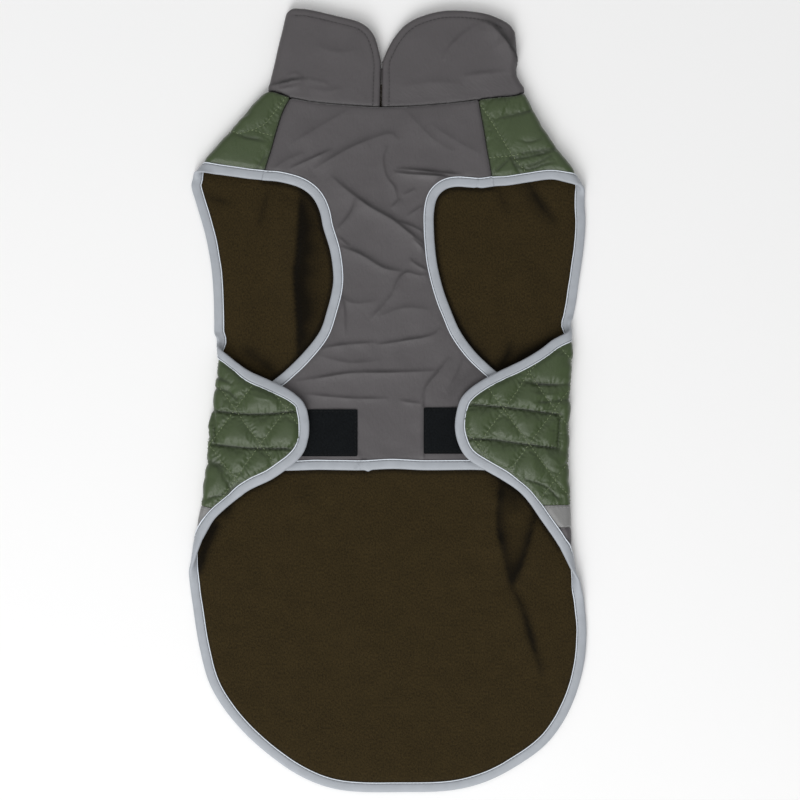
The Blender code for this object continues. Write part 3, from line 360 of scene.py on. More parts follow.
SHOULDER_QUILTING = {
    "left_shoulder": [
        [(-140, 213), (-125.2, 214.4), (-118.8, 212.8), (-107.6, 215.2), (-100.4, 213.2), (-86, 210)],
        [(-80, 243), (-91.6, 227.8), (-98, 220.2), (-108.4, 215.3)],
    ],
    "right_shoulder": [
        [(70, 241), (78.4, 229.8), (99.8, 195.3), (108.7, 184.2), (120, 170)],
        [(76, 192.8), (83.6, 193.6), (99.6, 195.2), (107.4, 196.8)],
    ],
}
FLAP_CREASES = [
    (0.8, 0.8, 2.4, [(-146, -9.6), (-139, -9.8), (-130, -4)]),
    (-1.2, 2.6, 0.8, [(-146, 24), (-136, 18), (-122, 12)]),
    (0.8, 2.4, 0.8, [(-128, 26), (-118, 17), (-108, 14)]),
    (0.8, 2.2, 0.8, [(-112, 6), (-104, 2), (-92, 0)]),
    (-1.2, 2.6, 0.8, [(-148, -48), (-138, -50), (-128, -56)]),
    (-1, 2.6, 0.8, [(-132, -60), (-126, -70), (-122, -82)]),
    (0.8, 2.2, 0.8, [(-120, -50), (-114, -56), (-108, -66)]),
    (-1.2, 2.6, 0.8, [(103, 15), (118, 12.6), (138, 12)]),
    (0.8, 0.8, 2, [(112, 7), (122, 4), (138, 5)]),
    (-1.1, 2.4, 0.8, [(114, -1), (126, -1.6), (140, 0)]),
    (0.8, 2.2, 0.8, [(66, -44), (70, -52), (76, -60)]),
    (0.8, 0.8, 2.2, [(128, -44), (136, -50), (140, -58)]),
    (-1.3, 3, 0.8, [(96, 194), (106, 192.6), (124, 196.6), (136, 199.6)]),
    (-1.1, 2.6, 0.8, [(100, 188), (112, 184), (126, 188), (136, 190)]),
    (-1.2, 2.4, 0.8, [(97, 196), (102, 186), (109, 176)]),
    (-1, 2.2, 0.8, [(84, 180), (92, 187), (99, 194)]),
    (-0.9, 2.6, 0.9, [(90, 227), (104, 229), (120, 232)]),
    (-0.8, 2.4, 0.8, [(104, 208), (114, 206), (126, 211)]),
    (-1.1, 3, 0.8, [(-124, 213), (-112, 209), (-96, 206)]),
    (-0.8, 2.6, 0.8, [(-128, 228), (-116, 226), (-106, 231)]),
    (-1.1, 2.4, 0.8, [(-140, 190), (-130, 186), (-120, 181)]),
]
FLAP_WRINKLES = {
    "left_side": [
        [(-145.5, -50.9), (-137.4, -52), (-131.1, -56.6)],
        [(-142, -78), (-128, -74), (-118, -66)],
        [(-140, 10), (-128, 7), (-120, 1)],
    ],
    "right_side": [
        [(120.4, 12.4), (132, 12), (146, 12.8)],
        [(136.4, -0.4), (146, 0.2)],
        [(110, -63.2), (126, -68.8), (136.4, -78.4)],
    ],
    "left_shoulder": [
        [(-104, 186), (-98, 194)],
    ],
    "right_shoulder": [
        [(107.4, 196.8), (122.6, 199.4), (134.8, 200.8)],
        [(112.9, 187.2), (121, 190), (130.8, 195.2)],
        [(89.4, 225), (101, 227.4), (112.9, 230.5)],
    ],
}

# ---- Creases: height, width left of the line, width right of it, and the line ----

CHEST_CREASES = [
    (0.9, 3.2, 8, [(-60, 184), (-40.4, 196), (-26.8, 203.2), (-8.4, 210.5), (2.8, 212.8), (10, 206)]),
    (0.7, 1, 4, [(-0.1, 203.2), (-3.3, 195), (-2.8, 185.8), (-0.1, 177.6), (5.4, 170.4), (8, 160)]),
    (0.6, 1, 3, [(3, 153), (10, 161.5)]),
    (1.3, 0.9, 2.2, [(6.3, 184.8), (16.4, 184.5), (37.4, 182.2), (62, 179.8)]),
    (1.8, 1, 4.5, [(4.4, 182.4), (17.2, 180.8), (30, 179.9), (46, 178.6), (62, 176.5)]),
    (1.8, 2.2, 8, [(-46, 180), (-34, 169.4), (-15.6, 155.7), (-2.8, 148.3), (4.4, 144.2), (21, 131),
                   (34, 121)]),
    (0.8, 1.1, 2.6, [(7, 143.6), (19.1, 139.2), (32, 132.6)]),
    (0.7, 0.9, 2.4, [(20, 129.6), (33, 117)]),
    (0.9, 3.4, 1.1, [(-26, 161.5), (-27.6, 153.8), (-33, 144.8), (-41, 136)]),
    (1.3, 2, 6, [(-42, 124), (-29.3, 120), (-19.3, 115.4), (-2.8, 105.8), (13, 102.6)]),
    (0.5, 0.9, 2.2, [(-40, 131), (-30, 122.5)]),
    (0.8, 1.2, 3.2, [(4, 86), (10, 98.1), (15.5, 102.2), (25.5, 100), (37, 100.6)]),
    (0.7, 1, 2.6, [(17, 113.6), (23.6, 108.1), (35, 102.6)]),
    (0.5, 1, 2.4, [(15, 146.6), (21.9, 151.2), (33, 158.6)]),
    (0.4, 1, 2.4, [(12, 163.6), (23, 169)]),
    (0.9, 1, 3.6, [(-10, 44.2), (14, 47.8), (35.6, 52.1), (43, 58.6)]),
    (0.8, 1.2, 4, [(-56, 41), (-33.3, 44.5), (-7.5, 46.2)]),
    (0.9, 1, 3, [(-79, 184.6), (-66.4, 190.4), (-57.2, 194.5), (-44, 200.6)]),
    (0.6, 1, 3, [(-38, 94), (-34.5, 70), (-34, 50)]),
    (0.6, 2, 4, [(-14, 64), (1.7, 82), (10, 93)]),
    (1, 1.1, 4.4, [(-76, 14.6), (-50.8, 18.6), (-29.2, 21.8), (3.2, 22.3), (42, 23.8)]),
    (0.8, 1.4, 5, [(28, -1), (31.3, 11), (39.9, 21.8), (50, 35)]),
    (0.7, 1, 3, [(-68, 5), (-29.2, 1.6), (2, 1.2)]),
    (0.5, 1, 2.4, [(9, -0.4), (29, -3.2)]),
    (1, 0.8, 1.6, [(28.4, 6), (28.4, -53)]),
    (0.4, 0.9, 1.6, [(-23.2, -40), (-23, -48)]),
    (0.6, 5, 9, [(-80, 203), (-54, 219), (-30, 233)]),
    (0.5, 4, 8, [(14, 232), (35.6, 209.8), (56, 197)]),
    (0.5, 5, 9, [(32, 222), (54, 208), (76, 196)]),
    (0.5, 3, 7, [(-96, 180), (-84, 190), (-66, 198)]),
    (0.5, 3, 6, [(-44, 88), (-28, 78), (-6, 80)]),
    (0.5, 3, 6, [(-10, 66), (14, 74), (36, 72)]),
    (0.5, 2.4, 6, [(-56, 36), (-30, 30), (-4, 32)]),
    (0.4, 2, 6, [(60, 34), (54, 20), (46, 6)]),
]
COLLAR_CREASES = [
    (1.5, 1, 4, [(-97, 250.4), (-92.8, 251.6), (-84.4, 253.6), (-75.6, 255.6), (-66.8, 257.4)]),
    (0.5, 1, 3, [(-66, 257), (-55.6, 254.8), (-46, 252.4)]),
    (0.5, 1.4, 3, [(-81, 258), (-75, 260.6), (-67, 257.6)]),
    (0.7, 1, 3, [(-93, 247.6), (-80, 249.6), (-68, 252)]),
    (0.6, 2, 5, [(-64, 250), (-50, 247), (-36, 249)]),
    (0.8, 1.4, 6, [(44, 271), (51, 283), (62, 293.6), (74, 301)]),
    (3.4, 1.4, 8, [(76, 303), (81.2, 300.8), (87.6, 295.2), (94, 288.8), (98.8, 280.8), (101.6, 271.2),
                   (102.4, 260)]),
    (0.7, 1.6, 5, [(60, 258.6), (74, 260.6), (96, 262.6)]),
    (0.5, 3, 6, [(10, 250), (36, 254), (60, 252)]),
    (0.5, 3, 7, [(-60, 284), (-40, 278), (-20, 280)]),
]
FLEECE_FOLDS = [
    (4.6, 3, 14, [(-70.4, 166), (-72, 122.8), (-75, 99.7), (-72.6, 69), (-72.4, 38)]),
    (3.6, 3, 14, [(91, -62), (88, -100.3), (93.8, -127.2), (99.5, -148.4)]),
    (3.2, 12, 3, [(117, -96), (110.3, -125.3), (99.5, -148.4)]),
    (3.2, 3, 11, [(99.5, -148.4), (108.4, -167.6), (116.9, -196.5), (124.4, -221)]),
    (1.8, 16, 16, [(-60, -120), (-20, -180), (10, -230)]),
    (1.6, 4, 12, [(-58, -66), (-61, -74), (-74, -90)]),
    (2.4, 3, 12, [(111, 176), (122.6, 157.6), (136, 139)]),
    (1.6, 12, 12, [(104, 110), (122, 60), (124, 45)]),
]

# ---- Painted shade: how much darker cloth is painted beside what is sewn to it or lies over it: reach, and share ----

SEAM_SHADE = (0.9, 1)
BAND_SHADE = (0.5, 0.2)
SHELL_EDGE_SHADE = (1.4, 0.6)
FLEECE_EDGE_SHADE = (1.2, 0.7)
CHEST_EDGE_SHADE = (1.2, 0.5)
UNDER_SHADE = (1.8, 0.9)
WRINKLE_SHADE = (1.2, 0.5)
LOOP_SEAM_SHADES = (0.3, 0.85)  # share beside a loop tape's upright seam, and beside its long ones
UPRIGHT_SEAM = 20  # how high up and down a seam reaches to be the upright one
VALLEY_SHADE = 0.6
TOPSTITCH_SHADE = 0.25
CREASE_SHADE = 0.52  # share of a chest crease's height
CREASE_SHADE_HIGHEST = 1.5
CREASE_SHADE_WIDEST = 1.8
CREASE_SHADE_RIGHT = 0.7

# ---- Where painted shade darkens folds and seams: share, width left of the line, width right of it, the line ----

FLEECE_SHADES = [
    (1.6, 13, 1.6, [(-69.4, 176), (-71.4, 122.8), (-74, 99.7), (-72, 69), (-72, 22)]),
    (1, 7, 1.4, [(91, -56), (88, -100.3), (93.8, -127.2), (99.5, -150)]),
    (1.2, 1.6, 5.5, [(121, -84), (110.3, -123.3), (99, -152)]),
    (1.1, 1.8, 2.8, [(97, -138), (100.5, -150), (108.4, -167.6), (116.9, -196.5), (125, -224)]),
    (0.8, 9, 9, [(97, -54), (100, -70), (104, -92)]),
    (0.8, 5, 5, [(-118, 44), (-99, 29), (-82, 14)]),
    (0.5, 3, 3, [(-150, 166), (-138, 161), (-124, 158)]),
    (0.6, 3, 2, [(-96, 170), (-99, 156), (-104, 138)]),
    (0.8, 2, 7, [(110, 178), (122.6, 157.6), (138, 138)]),
    (0.3, 4, 4, [(86, 174), (92, 161), (97, 148)]),
    (0.9, 6, 3, [(50, 72), (62, 47), (76, 32), (92, 18)]),
    (0.8, 4, 4, [(86, 22), (96, 36), (99, 48)]),
    (0.9, 5, 5, [(92, 24), (112, 38), (142, 56)]),
    (2.4, 3, 3, [(-152, -141), (-147.5, -121), (-141, -107), (-134.5, -97)]),
    (0.5, 3, 3, [(-134.5, -97), (-122, -84)]),
]
CHEST_SHADES = [
    (0.34, 6, 6, [(44, 0), (66, 21), (84, 36)]),
    (0.20, 5, 5, [(-72, 34), (-84, 18), (-96, 4)]),
]
COLLAR_SHADES = [
    (0.9, 1.3, 0.8, [(-99, 250), (-92.8, 251.6), (-84.4, 253.6), (-75.6, 255.6), (-62, 257.4)]),
    (0.5, 9, 0.8, [(70, 306), (81.2, 300.8), (87.6, 295.2), (94, 288.8), (98.8, 280.8), (102, 266)]),
    (1.3, 1.5, 0.6, [(90, 293), (94, 288.8), (98.8, 280.8), (101.6, 271.2), (102.6, 258)]),
]

# ---- Where the binding is joined: x, y, the ridge's slant and height, how far its edge stands out ----

CHEST_JOINS = [
    (-26.6, -57.4, 0.75, 1.3, 0), (-24.2, -57.4, 0.75, 1.1, 0), (-15.6, -57.2, 0, 0, 1.3),
    (71.7, 168.5, 0.1, -0.5, -0.7),
]

# ---- Settings ----

class CoatSizes(bpy.types.PropertyGroup):
    """Sizes that the maker of a coat would change."""

    loft: FloatProperty(
        name="Loft", description="How far a quilted diamond stands up", default=0.0026, unit="LENGTH")
    binding: FloatProperty(
        name="Binding", description="Width of the edge binding", default=0.0081, unit="LENGTH")
    stitch: FloatProperty(
        name="Stitch", description="Length of one stitch", default=0.0024, unit="LENGTH")
    thread: FloatProperty(
        name="Thread", description="Thickness of the sewing thread", default=0.00042, unit="LENGTH")
    pile: FloatProperty(
        name="Pile", description="Length of the collar's plush pile", default=0.0022, unit="LENGTH")


class CoatColours(bpy.types.PropertyGroup):
    """Colours of the cloths, tapes and threads."""

    green_nylon: FloatVectorProperty(
        name="Green nylon", description="Quilted shell", subtype="COLOR", default=(0.040, 0.063, 0.020))
    green_thread: FloatVectorProperty(
        name="Green thread", description="Thread of the quilting", subtype="COLOR",
        default=(0.20, 0.25, 0.13))
    grey_nylon: FloatVectorProperty(
        name="Grey nylon", description="Chest panel, collar and tail", subtype="COLOR",
        default=(0.0740, 0.0675, 0.0710))
    fleece: FloatVectorProperty(
        name="Fleece", description="Lining", subtype="COLOR", default=(0.030, 0.0205, 0.007))
    plush: FloatVectorProperty(
        name="Plush", description="Inside of the collar", subtype="COLOR", default=(0.20, 0.19, 0.19))
    silver: FloatVectorProperty(
        name="Silver binding", description="Edge binding", subtype="COLOR", default=(0.36, 0.385, 0.42))
    reflective: FloatVectorProperty(
        name="Reflective tape", description="Band across the back", subtype="COLOR",
        default=(0.205, 0.205, 0.202))
    black: FloatVectorProperty(
        name="Hook and loop tape", description="Fastening tapes", subtype="COLOR",
        default=(0.006, 0.007, 0.008))


class CoatStage(bpy.types.PropertyGroup):
    """The floor and the light."""

    floor: FloatVectorProperty(
        name="Floor", description="Colour of the floor", subtype="COLOR", default=(0.93, 0.93, 0.93))
    light: FloatProperty(
        name="Light", description="Strength of the main light", default=100.0, unit="POWER")
    sky: FloatProperty(name="Sky", description="Strength of the light from all sides", default=0.42)
    lens: FloatProperty(name="Lens", description="Focal length of the camera", default=85.0, unit="CAMERA")


# ---- Sums on whole tables of numbers ----

def eased(share):
    """Turns shares from 0 to 1 into ones that start and end gently."""
    share = np.clip(share, 0.0, 1.0)
    return share * share * (3.0 - 2.0 * share)


def along_rows(rows, places):
    """Reads a table of rising (place, value) rows."""
    return np.interp(places, *np.array(rows).T)


def unit(ways):
    return ways / np.maximum(np.linalg.norm(ways, axis=-1, keepdims=True), 1e-9)


def smooth_line(points):
    """A soft curve through the points, in steps of about a millimetre."""
    points = np.array(points, float)
    ends = [2 * points[0] - points[1], *points, 2 * points[-1] - points[-2]]
    line = [points[0]]
    for before, first, second, after in zip(ends, ends[1:], ends[2:], ends[3:]):
        third = np.linalg.norm(second - first) / 3
        leave = first + third * unit(second - before)
        arrive = second - third * unit(after - first)
        share = np.linspace(0.0, 1.0, max(int(third * 3), 2) + 1)[1:, None]
        rest = 1.0 - share
        line.extend(rest**3 * first + 3 * rest**2 * share * leave + 3 * rest * share**2 * arrive
                    + share**3 * second)
    return np.array(line)


def walked(line):
    """The distance from the start of a line to each of its points."""
    return np.concatenate([[0.0], np.cumsum(np.linalg.norm(np.diff(line, axis=0), axis=1))])


def places_at(marks, far, line):
    """The places at these distances along a line, whose points lie at the distances far."""
    return np.stack([np.interp(marks, far, side) for side in line.T], axis=-1)


def even(line, step):
    """The same line in even steps."""
    far = walked(line)
    return places_at(np.linspace(0.0, far[-1], max(int(round(far[-1] / step)), 1) + 1), far, line)


def soft(points, step=EDGE_STEP):
    """A soft curve through the points, in even steps."""
    return even(smooth_line(points), step)


def inward(line):
    """The direction into the cloth at each point of an edge that runs clockwise round it."""
    ways = unit(np.gradient(line, axis=0))
    return np.column_stack([ways[:, 1], -ways[:, 0]])


def nearest(points, targets):
    """Distance from each point to the nearest of the targets, and that target's number."""
    tree = KDTree(len(targets))
    for index, target in enumerate(targets):
        tree.insert((*target, 0.0), index)
    tree.balance()
    found = [tree.find((*point, 0.0)) for point in points]
    return np.array([gap for _, _, gap in found]), np.array([index for _, index, _ in found])


def gaps_to(points, targets):
    return nearest(points, targets)[0]


def beside(points, line):
    """Distance to a line, distance along it and side of it, 1 on its left, for each point."""
    line = np.array(line, float)
    far = walked(line)
    best = np.full(len(points), 1e9)
    along = np.zeros(len(points))
    side = np.ones(len(points))
    for start, end, reached in zip(line, line[1:], far):
        run = end - start
        length = np.linalg.norm(run)
        share = np.clip((points - start) @ run / length**2, 0.0, 1.0)
        offset = points - start - share[:, None] * run
        gap = np.linalg.norm(offset, axis=1)
        closer = gap < best
        best[closer] = gap[closer]
        along[closer] = reached + share[closer] * length
        side[closer] = np.sign(run[0] * offset[:, 1] - run[1] * offset[:, 0])[closer]
    return best, along, side, far[-1]


def inside(points, loop):
    """Tells which points lie inside a closed loop."""
    found = np.zeros(len(points), bool)
    for (x0, y0), (x1, y1) in zip(loop, np.roll(loop, -1, axis=0)):
        crossed = (y0 > points[:, 1]) != (y1 > points[:, 1])
        if crossed.any():
            found ^= crossed & (points[:, 0] < x0 + (points[:, 1] - y0) / (y1 - y0 + 1e-12) * (x1 - x0))
    return found


def wander(places, step, seed):
    """A soft random value from -1 to 1 that changes over a step."""
    table = np.random.default_rng(seed).uniform(-1.0, 1.0, WANDER_VALUES)
    cell = np.floor(places / step)
    share = eased(places / step - cell)
    first = table[cell.astype(int) % WANDER_VALUES]
    return first + (table[(cell.astype(int) + 1) % WANDER_VALUES] - first) * share


def ripple(points, step, seed):
    """Soft noise from about -1 to 1 over the cloth."""
    return np.array([noise.noise((x / step, y / step, seed)) for x, y in points]) * NOISE_GAIN


def creased(points, rows, sharp=CREASE_SHARP):
    """The height that creases give: each dies out at its ends and is wider on one side."""
    total = np.zeros(len(points))
    for height, left, right, line in rows:
        gap, along, side, length = beside(points, smooth_line(line))
        width = np.where(side > 0, left, right)
        share = along / length
        fade = np.clip(CREASE_FADE * share * (1.0 - share), 0.0, 1.0) ** CREASE_FADE_POWER
        uneven = 1.0 + CREASE_UNEVEN * wander(along, CREASE_STEP, int(abs(line[0][0]) * 7))
        total += height * uneven * fade * np.exp(-((gap / width) ** sharp))
    return total


def fading(gap, reach, share=1.0):
    """A share that dies out with the distance, quickly at first."""
    return share * np.exp(-gap / reach)


def around(gap, width, share=1.0):
    """A share that dies out softly on both sides of a line."""
    return share * np.exp(-((gap / width) ** 2))


def ripples(points, rows):
    """Soft noise of several sizes: how high, over what step, and its seed."""
    return sum(height * ripple(points, step, seed) for height, step, seed in rows)


def wanders(places, rows):
    """The same along a line."""
    return sum(height * wander(places, step, seed) for height, step, seed in rows)


def shades(points, rows):
    """How much painted shade darkens the cloth along the rows, from 0 to 1."""
    return np.clip(creased(points, rows, SHADE_SHARP), 0.0, 1.0)


# ---- Folding ----

class Fold:
    """A rounded bend along a line: the cloth past it turns up and over, towards the middle.

    start and end lie on the bend's outermost edge, and hand is 1 on the left, -1 on the right. turned
    gives the share of a half turn at each y, and bow how far the line swings outwards there.
    """

    def __init__(self, start, end, hand, radius, level, turned, bow):
        start, end = np.array(start), np.array(end)
        self.along = unit(end - start)
        self.out = hand * np.array((self.along[1], -self.along[0]))
        self.start = start - self.out * (radius + level)
        self.radius = radius
        self.level = level
        self.turned = turned
        self.bow_rows = bow

    def angle(self, along):
        return math.pi * eased(along_rows(self.turned, self.start[1] + along * self.along[1]))

    def bow(self, along):
        return along_rows(self.bow_rows, self.start[1] + along * self.along[1])

    def split(self, points):
        """Gives the distance along the fold, and the distance past the start of its bend."""
        offset = np.array(points, float) - self.start
        along = offset @ self.along
        return along, offset @ self.out - self.bow(along)

    def join(self, along, past):
        """Gives the points of the flat cloth at these distances."""
        return (self.start + np.multiply.outer(along, self.along)
                + np.multiply.outer(self.bow(along) + past, self.out))

    def unfold(self, points):
        """Gives the places in the flat cloth of points on the folded flap, and the other way round."""
        along, past = self.split(points)
        return self.join(along, math.pi * self.radius - past)

    def crest(self, points):
        """Gives the places in the flat cloth of points on the bend's outermost edge."""
        along, _ = self.split(points)
        return self.join(along, np.full(np.shape(along), math.pi * self.radius / 2))

    def on_crest(self, points):
        """Tells how near points lie to the bend's outermost edge, from 0 to 1, and how far along it."""
        along, past = self.split(points)
        return around(past - math.pi * self.radius / 2, CREST_REACH) * np.sin(self.angle(along) / 2), along

    def place(self, points, outer, lift):
        """Tells which points are past the bend, and puts those where they lie."""
        along, past = self.split(points)
        total = self.angle(along)
        there = (past > 0.0) & (total > 0.0)
        along, past, total, outer = along[there], past[there], total[there], outer[there]
        bent = np.minimum(past / self.radius, total)
        straight = np.maximum(past - self.radius * total, 0.0)
        spread = (self.radius + outer) * np.sin(bent) + straight * np.cos(bent)
        plan = self.join(along, spread)
        rise = self.radius * (1.0 - np.cos(bent)) + straight * np.sin(bent) - outer * np.cos(bent)
        over = np.sin(bent / 2) ** 2
        return there, np.column_stack([plan, self.level + rise + over * lift(plan, straight)])


SIDES = {
    "left_side": Fold(
        (-134.2, 52), (-159, -138), 1, SIDE_RADIUS, LINING_LEVEL,
        [(-160, 0), (-139, 0.26), (-112, 1), (38, 1), (54, 0)],
        [(-112, 0), (-94, -1), (-83, -2), (-73, -3.2), (-62, -3.1), (-50, -2.2), (-38, -1.3),
         (-22, 0), (-8, -1.3), (2, -1.9), (12, -0.6), (24, -1.6), (32, 0), (40, 1.5), (46, 3.5),
         (54, 4.5), (64, 6)],
    ),
    "right_side": Fold(
        (148.3, 64), (148.6, -130), -1, SIDE_RADIUS, LINING_LEVEL,
        [(-174, 0), (-147, 0.30), (-121, 1), (52, 1), (69, 0)],
        [(-144, 4.5), (-136, 2.8), (-120, 0), (-84, -1.2), (-64, -3.8), (-16, -2.6), (40, 0)],
    ),
    "left_shoulder": Fold(
        (-98.5, 247), (-154.5, 183.5), 1, SIDE_RADIUS, LINING_LEVEL,
        [(174, 0), (187, 1)],
        [(180, -1), (188, 0)],
    ),
    "right_shoulder": Fold(
        (109.6, 247.5), (151.5, 181), -1, SIDE_RADIUS, LINING_LEVEL,
        [(160.5, 0), (175, 1)],
        [(182, 0), (200, -2), (218, -3.4), (236, -1), (246, 0)],
    ),
}
COLLAR = {
    "left": Fold(
        (-80.5, 312), (-95.8, 248), 1, COLLAR_RADIUS, COLLAR_LEVEL,
        [(0, 1)],
        [(0, 0)],
    ),
    "right": Fold(
        (103.4, 296), (109.4, 246.5), -1, COLLAR_RADIUS, COLLAR_LEVEL,
        [(0, 1)],
        [(246, 0.8), (250, 0.2), (254.5, -2.3), (259.5, -4.1), (265, -5.2), (271, -3.5),
         (280, -1.9), (294, -1.3)],
    ),
}


def flap_lift(plan, straight):
    """How far a wing or shoulder stands above the plain fold."""
    wing = WING_RISE * np.minimum(straight / WING_RAMP, 1.0) * along_rows(WING_RISE_ROWS, plan[:, 1])
    shoulder = -SHOULDER_DROP * np.minimum(straight / SHOULDER_RAMP, 1.0)
    return np.where(plan[:, 1] < WING_TOP, wing, shoulder)


def place_coat(points, outer):
    """Puts points of the flat coat where they lie, outer millimetres outside the middle surface."""
    outer = np.broadcast_to(outer, len(points))
    placed = np.column_stack([points, LINING_LEVEL - outer])
    for fold in SIDES.values():
        there, bent = fold.place(points, outer, flap_lift)
        placed[there] = bent
    return placed


def place_collar(points, outer):
    """The same for the collar."""
    def lift(plan, straight):
        lifted = creased(plan, COLLAR_CREASES, COLLAR_LIFT_SHARP)
        return COLLAR_LIFT * lifted * eased(straight / COLLAR_LIFT_REACH)

    outer = np.broadcast_to(outer, len(points))
    placed = np.column_stack([points, COLLAR_LEVEL - outer])
    for fold in COLLAR.values():
        there, bent = fold.place(points, outer, lift)
        placed[there] = bent
    return placed


def place_chest(points, outer):
    """Puts points of the chest panel, outer millimetres above its middle surface."""
    level = along_rows(CHEST_LEVEL_ROWS, points[:, 1])
    near = np.minimum(beside(points, LEFT_SEAM)[0], beside(points, RIGHT_SEAM)[0])
    level = level + (CHEST_SEAM_LEVEL - level) * eased(1.0 - near / CHEST_SEAM_REACH)
    return np.column_stack([points, level + outer])


# ---- Outlines of the flat cloths ----

def turned_back(fold, rows):
    """The places in the flat cloth of a soft line on a folded flap."""
    return fold.unfold(soft(rows, FLAP_EDGE_STEP))


def coat_edge():
    """The bound edge of the flat coat: from the right shoulder seam clockwise to the left one."""
    left, right = SIDES["left_shoulder"], SIDES["right_shoulder"]
    return soft([
        *right.unfold(RIGHT_SHOULDER_EDGE),
        right.crest(RIGHT_SHOULDER_TURN),
        *RIGHT_ARMHOLE,
        SIDES["right_side"].crest(RIGHT_WING_TURN),
        *turned_back(SIDES["right_side"], RIGHT_WING),
        *HEM,
        *turned_back(SIDES["left_side"], LEFT_WING),
        SIDES["left_side"].crest(LEFT_WING_TURN),
        *LEFT_ARMHOLE,
        left.crest(LEFT_SHOULDER_TURN),
        *left.unfold(LEFT_SHOULDER_EDGE),
    ])


def coat_seams():
    """The flat coat's two shoulder seams and its neck line, each clockwise."""
    left, right = SIDES["left_shoulder"], SIDES["right_shoulder"]
    neck = [
        *left.unfold(LEFT_FRONT_NECK[::-1]),
        left.crest(LEFT_NECK_TURN),
        *BACK_NECK,
        right.crest(RIGHT_NECK_TURN),
        *right.unfold(RIGHT_FRONT_NECK),
    ]
    return left.unfold(soft(LEFT_SEAM[::-1])), soft(neck), right.unfold(soft(RIGHT_SEAM))


def chest_seams():
    """The chest panel's two shoulder seams and its neck line, each clockwise."""
    return soft(LEFT_SEAM[::-1]), soft(CHEST_NECK), soft(RIGHT_SEAM)


def collar_lines():
    """The collar's neck line, and its free edge from the right slit round to the left one."""
    left, right = COLLAR["left"], COLLAR["right"]
    neck = soft([
        *left.unfold(CHEST_NECK[:4][::-1] + COLLAR_LEFT_FRONT_NECK),
        left.crest(COLLAR_LEFT_NECK_TURN),
        *BACK_NECK,
        right.crest(COLLAR_RIGHT_NECK_TURN),
        *right.unfold(RIGHT_FRONT_NECK[:-1] + CHEST_NECK[:2:-1]),
    ])
    neck = neck - inward(neck) * SEAM / 2
    top = soft([
        *turned_back(right, COLLAR_RIGHT_TOP),
        right.crest(COLLAR_RIGHT_CORNER),
        *COLLAR_BACK_TOP,
        left.crest(COLLAR_LEFT_CORNER),
        *turned_back(left, COLLAR_LEFT_TOP[::-1]),
    ])
    right_slit = right.unfold(soft(COLLAR_RIGHT_SLIT))
    left_slit = left.unfold(soft(COLLAR_LEFT_SLIT[::-1]))
    return neck, np.vstack([right_slit[:-1], top, left_slit[1:]])


def collar_topstitch():
    """The rows sewn along the collar's free edge: those of its two fronts, and the one behind."""
    found = []
    for side, rows, hand in (("right", COLLAR_RIGHT_SLIT + COLLAR_RIGHT_TOP[1:], 1.0),
                             ("left", COLLAR_LEFT_SLIT + COLLAR_LEFT_TOP[1:], -1.0)):
        line = soft(rows)
        line = line + hand * inward(line) * COLLAR_STITCH_INSET
        found.append(COLLAR[side].unfold(line))
    line = soft(COLLAR_BACK_TOP)
    found.append(line + inward(line) * COLLAR_STITCH_INSET)
    return found


def edge_ways(edge, first_seam, last_seam, count=END_STEPS):
    """The directions into a cloth along its bound edge, which run along the seams at its two ends."""
    ways = inward(edge)
    for seam, end in ((first_seam, 0), (last_seam, -1)):
        along = unit(seam[-1 - SEAM_RUN] - seam[-1] if end == 0 else seam[SEAM_RUN] - seam[0])
        for step in range(count):
            index = step if end == 0 else -1 - step
            share = eased(step / count)
            ways[index] = unit(along + (ways[index] - along) * share)
    return ways


def long_sided(loop):
    """A closed loop without the corners that lie too close to the one before."""
    return loop[np.linalg.norm(loop - np.roll(loop, 1, axis=0), axis=1) > LEAST_SIDE]


def sewn_outline(edge, ways, seams):
    """The closed outline of a cloth inside its binding and a little back from its seams."""
    line = edge + ways * TUCK
    loop = [line[gaps_to(line, edge) > TUCK - TUCK_SLACK]]
    for index, seam in enumerate(seams):
        moved = seam + inward(seam) * SEAM / 2
        head = TUCK + SEAM_CLEAR if index == 0 else SEAM_CLEAR
        tail = TUCK + SEAM_CLEAR if index == len(seams) - 1 else SEAM_CLEAR
        far = walked(moved)
        loop.append(moved[(far > head) & (far < far[-1] - tail)])
    return long_sided(np.vstack(loop))


class Cut:
    """A cloth's flat cut: its bound edge, the directions into it there, its seams, and its sewn outline."""

    def __init__(self, edge, seams):
        self.edge = edge
        self.ways = edge_ways(edge, seams[-1], seams[0])
        self.seams = np.vstack(seams)
        self.bound = edge + self.ways * TUCK
        self.outline = sewn_outline(edge, self.ways, seams)


def coat_cut():
    return Cut(coat_edge(), coat_seams())


def chest_cut():
    return Cut(soft(CHEST_EDGE), chest_seams())


def cut_level(loop, level, above):
    """The part of a closed loop on one side of y = level, with its straight cut in steps."""
    kept = []
    for first, second in zip(loop, np.roll(loop, -1, axis=0)):
        if (first[1] > level + 0.5) if above else (first[1] < level - 0.5):
            kept.append(first)
        if (first[1] >= level) != (second[1] >= level):
            kept.append(first + (second - first) * (level - first[1]) / (second[1] - first[1]))
    found = []
    for first, second in zip(kept, kept[1:] + kept[:1]):
        count = max(int(np.linalg.norm(second - first) / LEVEL_STEP), 1)
        found += [first + (second - first) * step / count for step in range(count)]
    found = np.array(found)
    sewn = np.abs(found[:, 1] - level) < 0.001
    found[sewn, 1] += wanders(found[sewn, 0], LEVEL_WAVES)
    return found


def green_part(outline):
    """The part of the coat's outline that the quilted shell fills."""
    return cut_level(outline, REFLECTIVE_TOP + SEAM / 2, True)


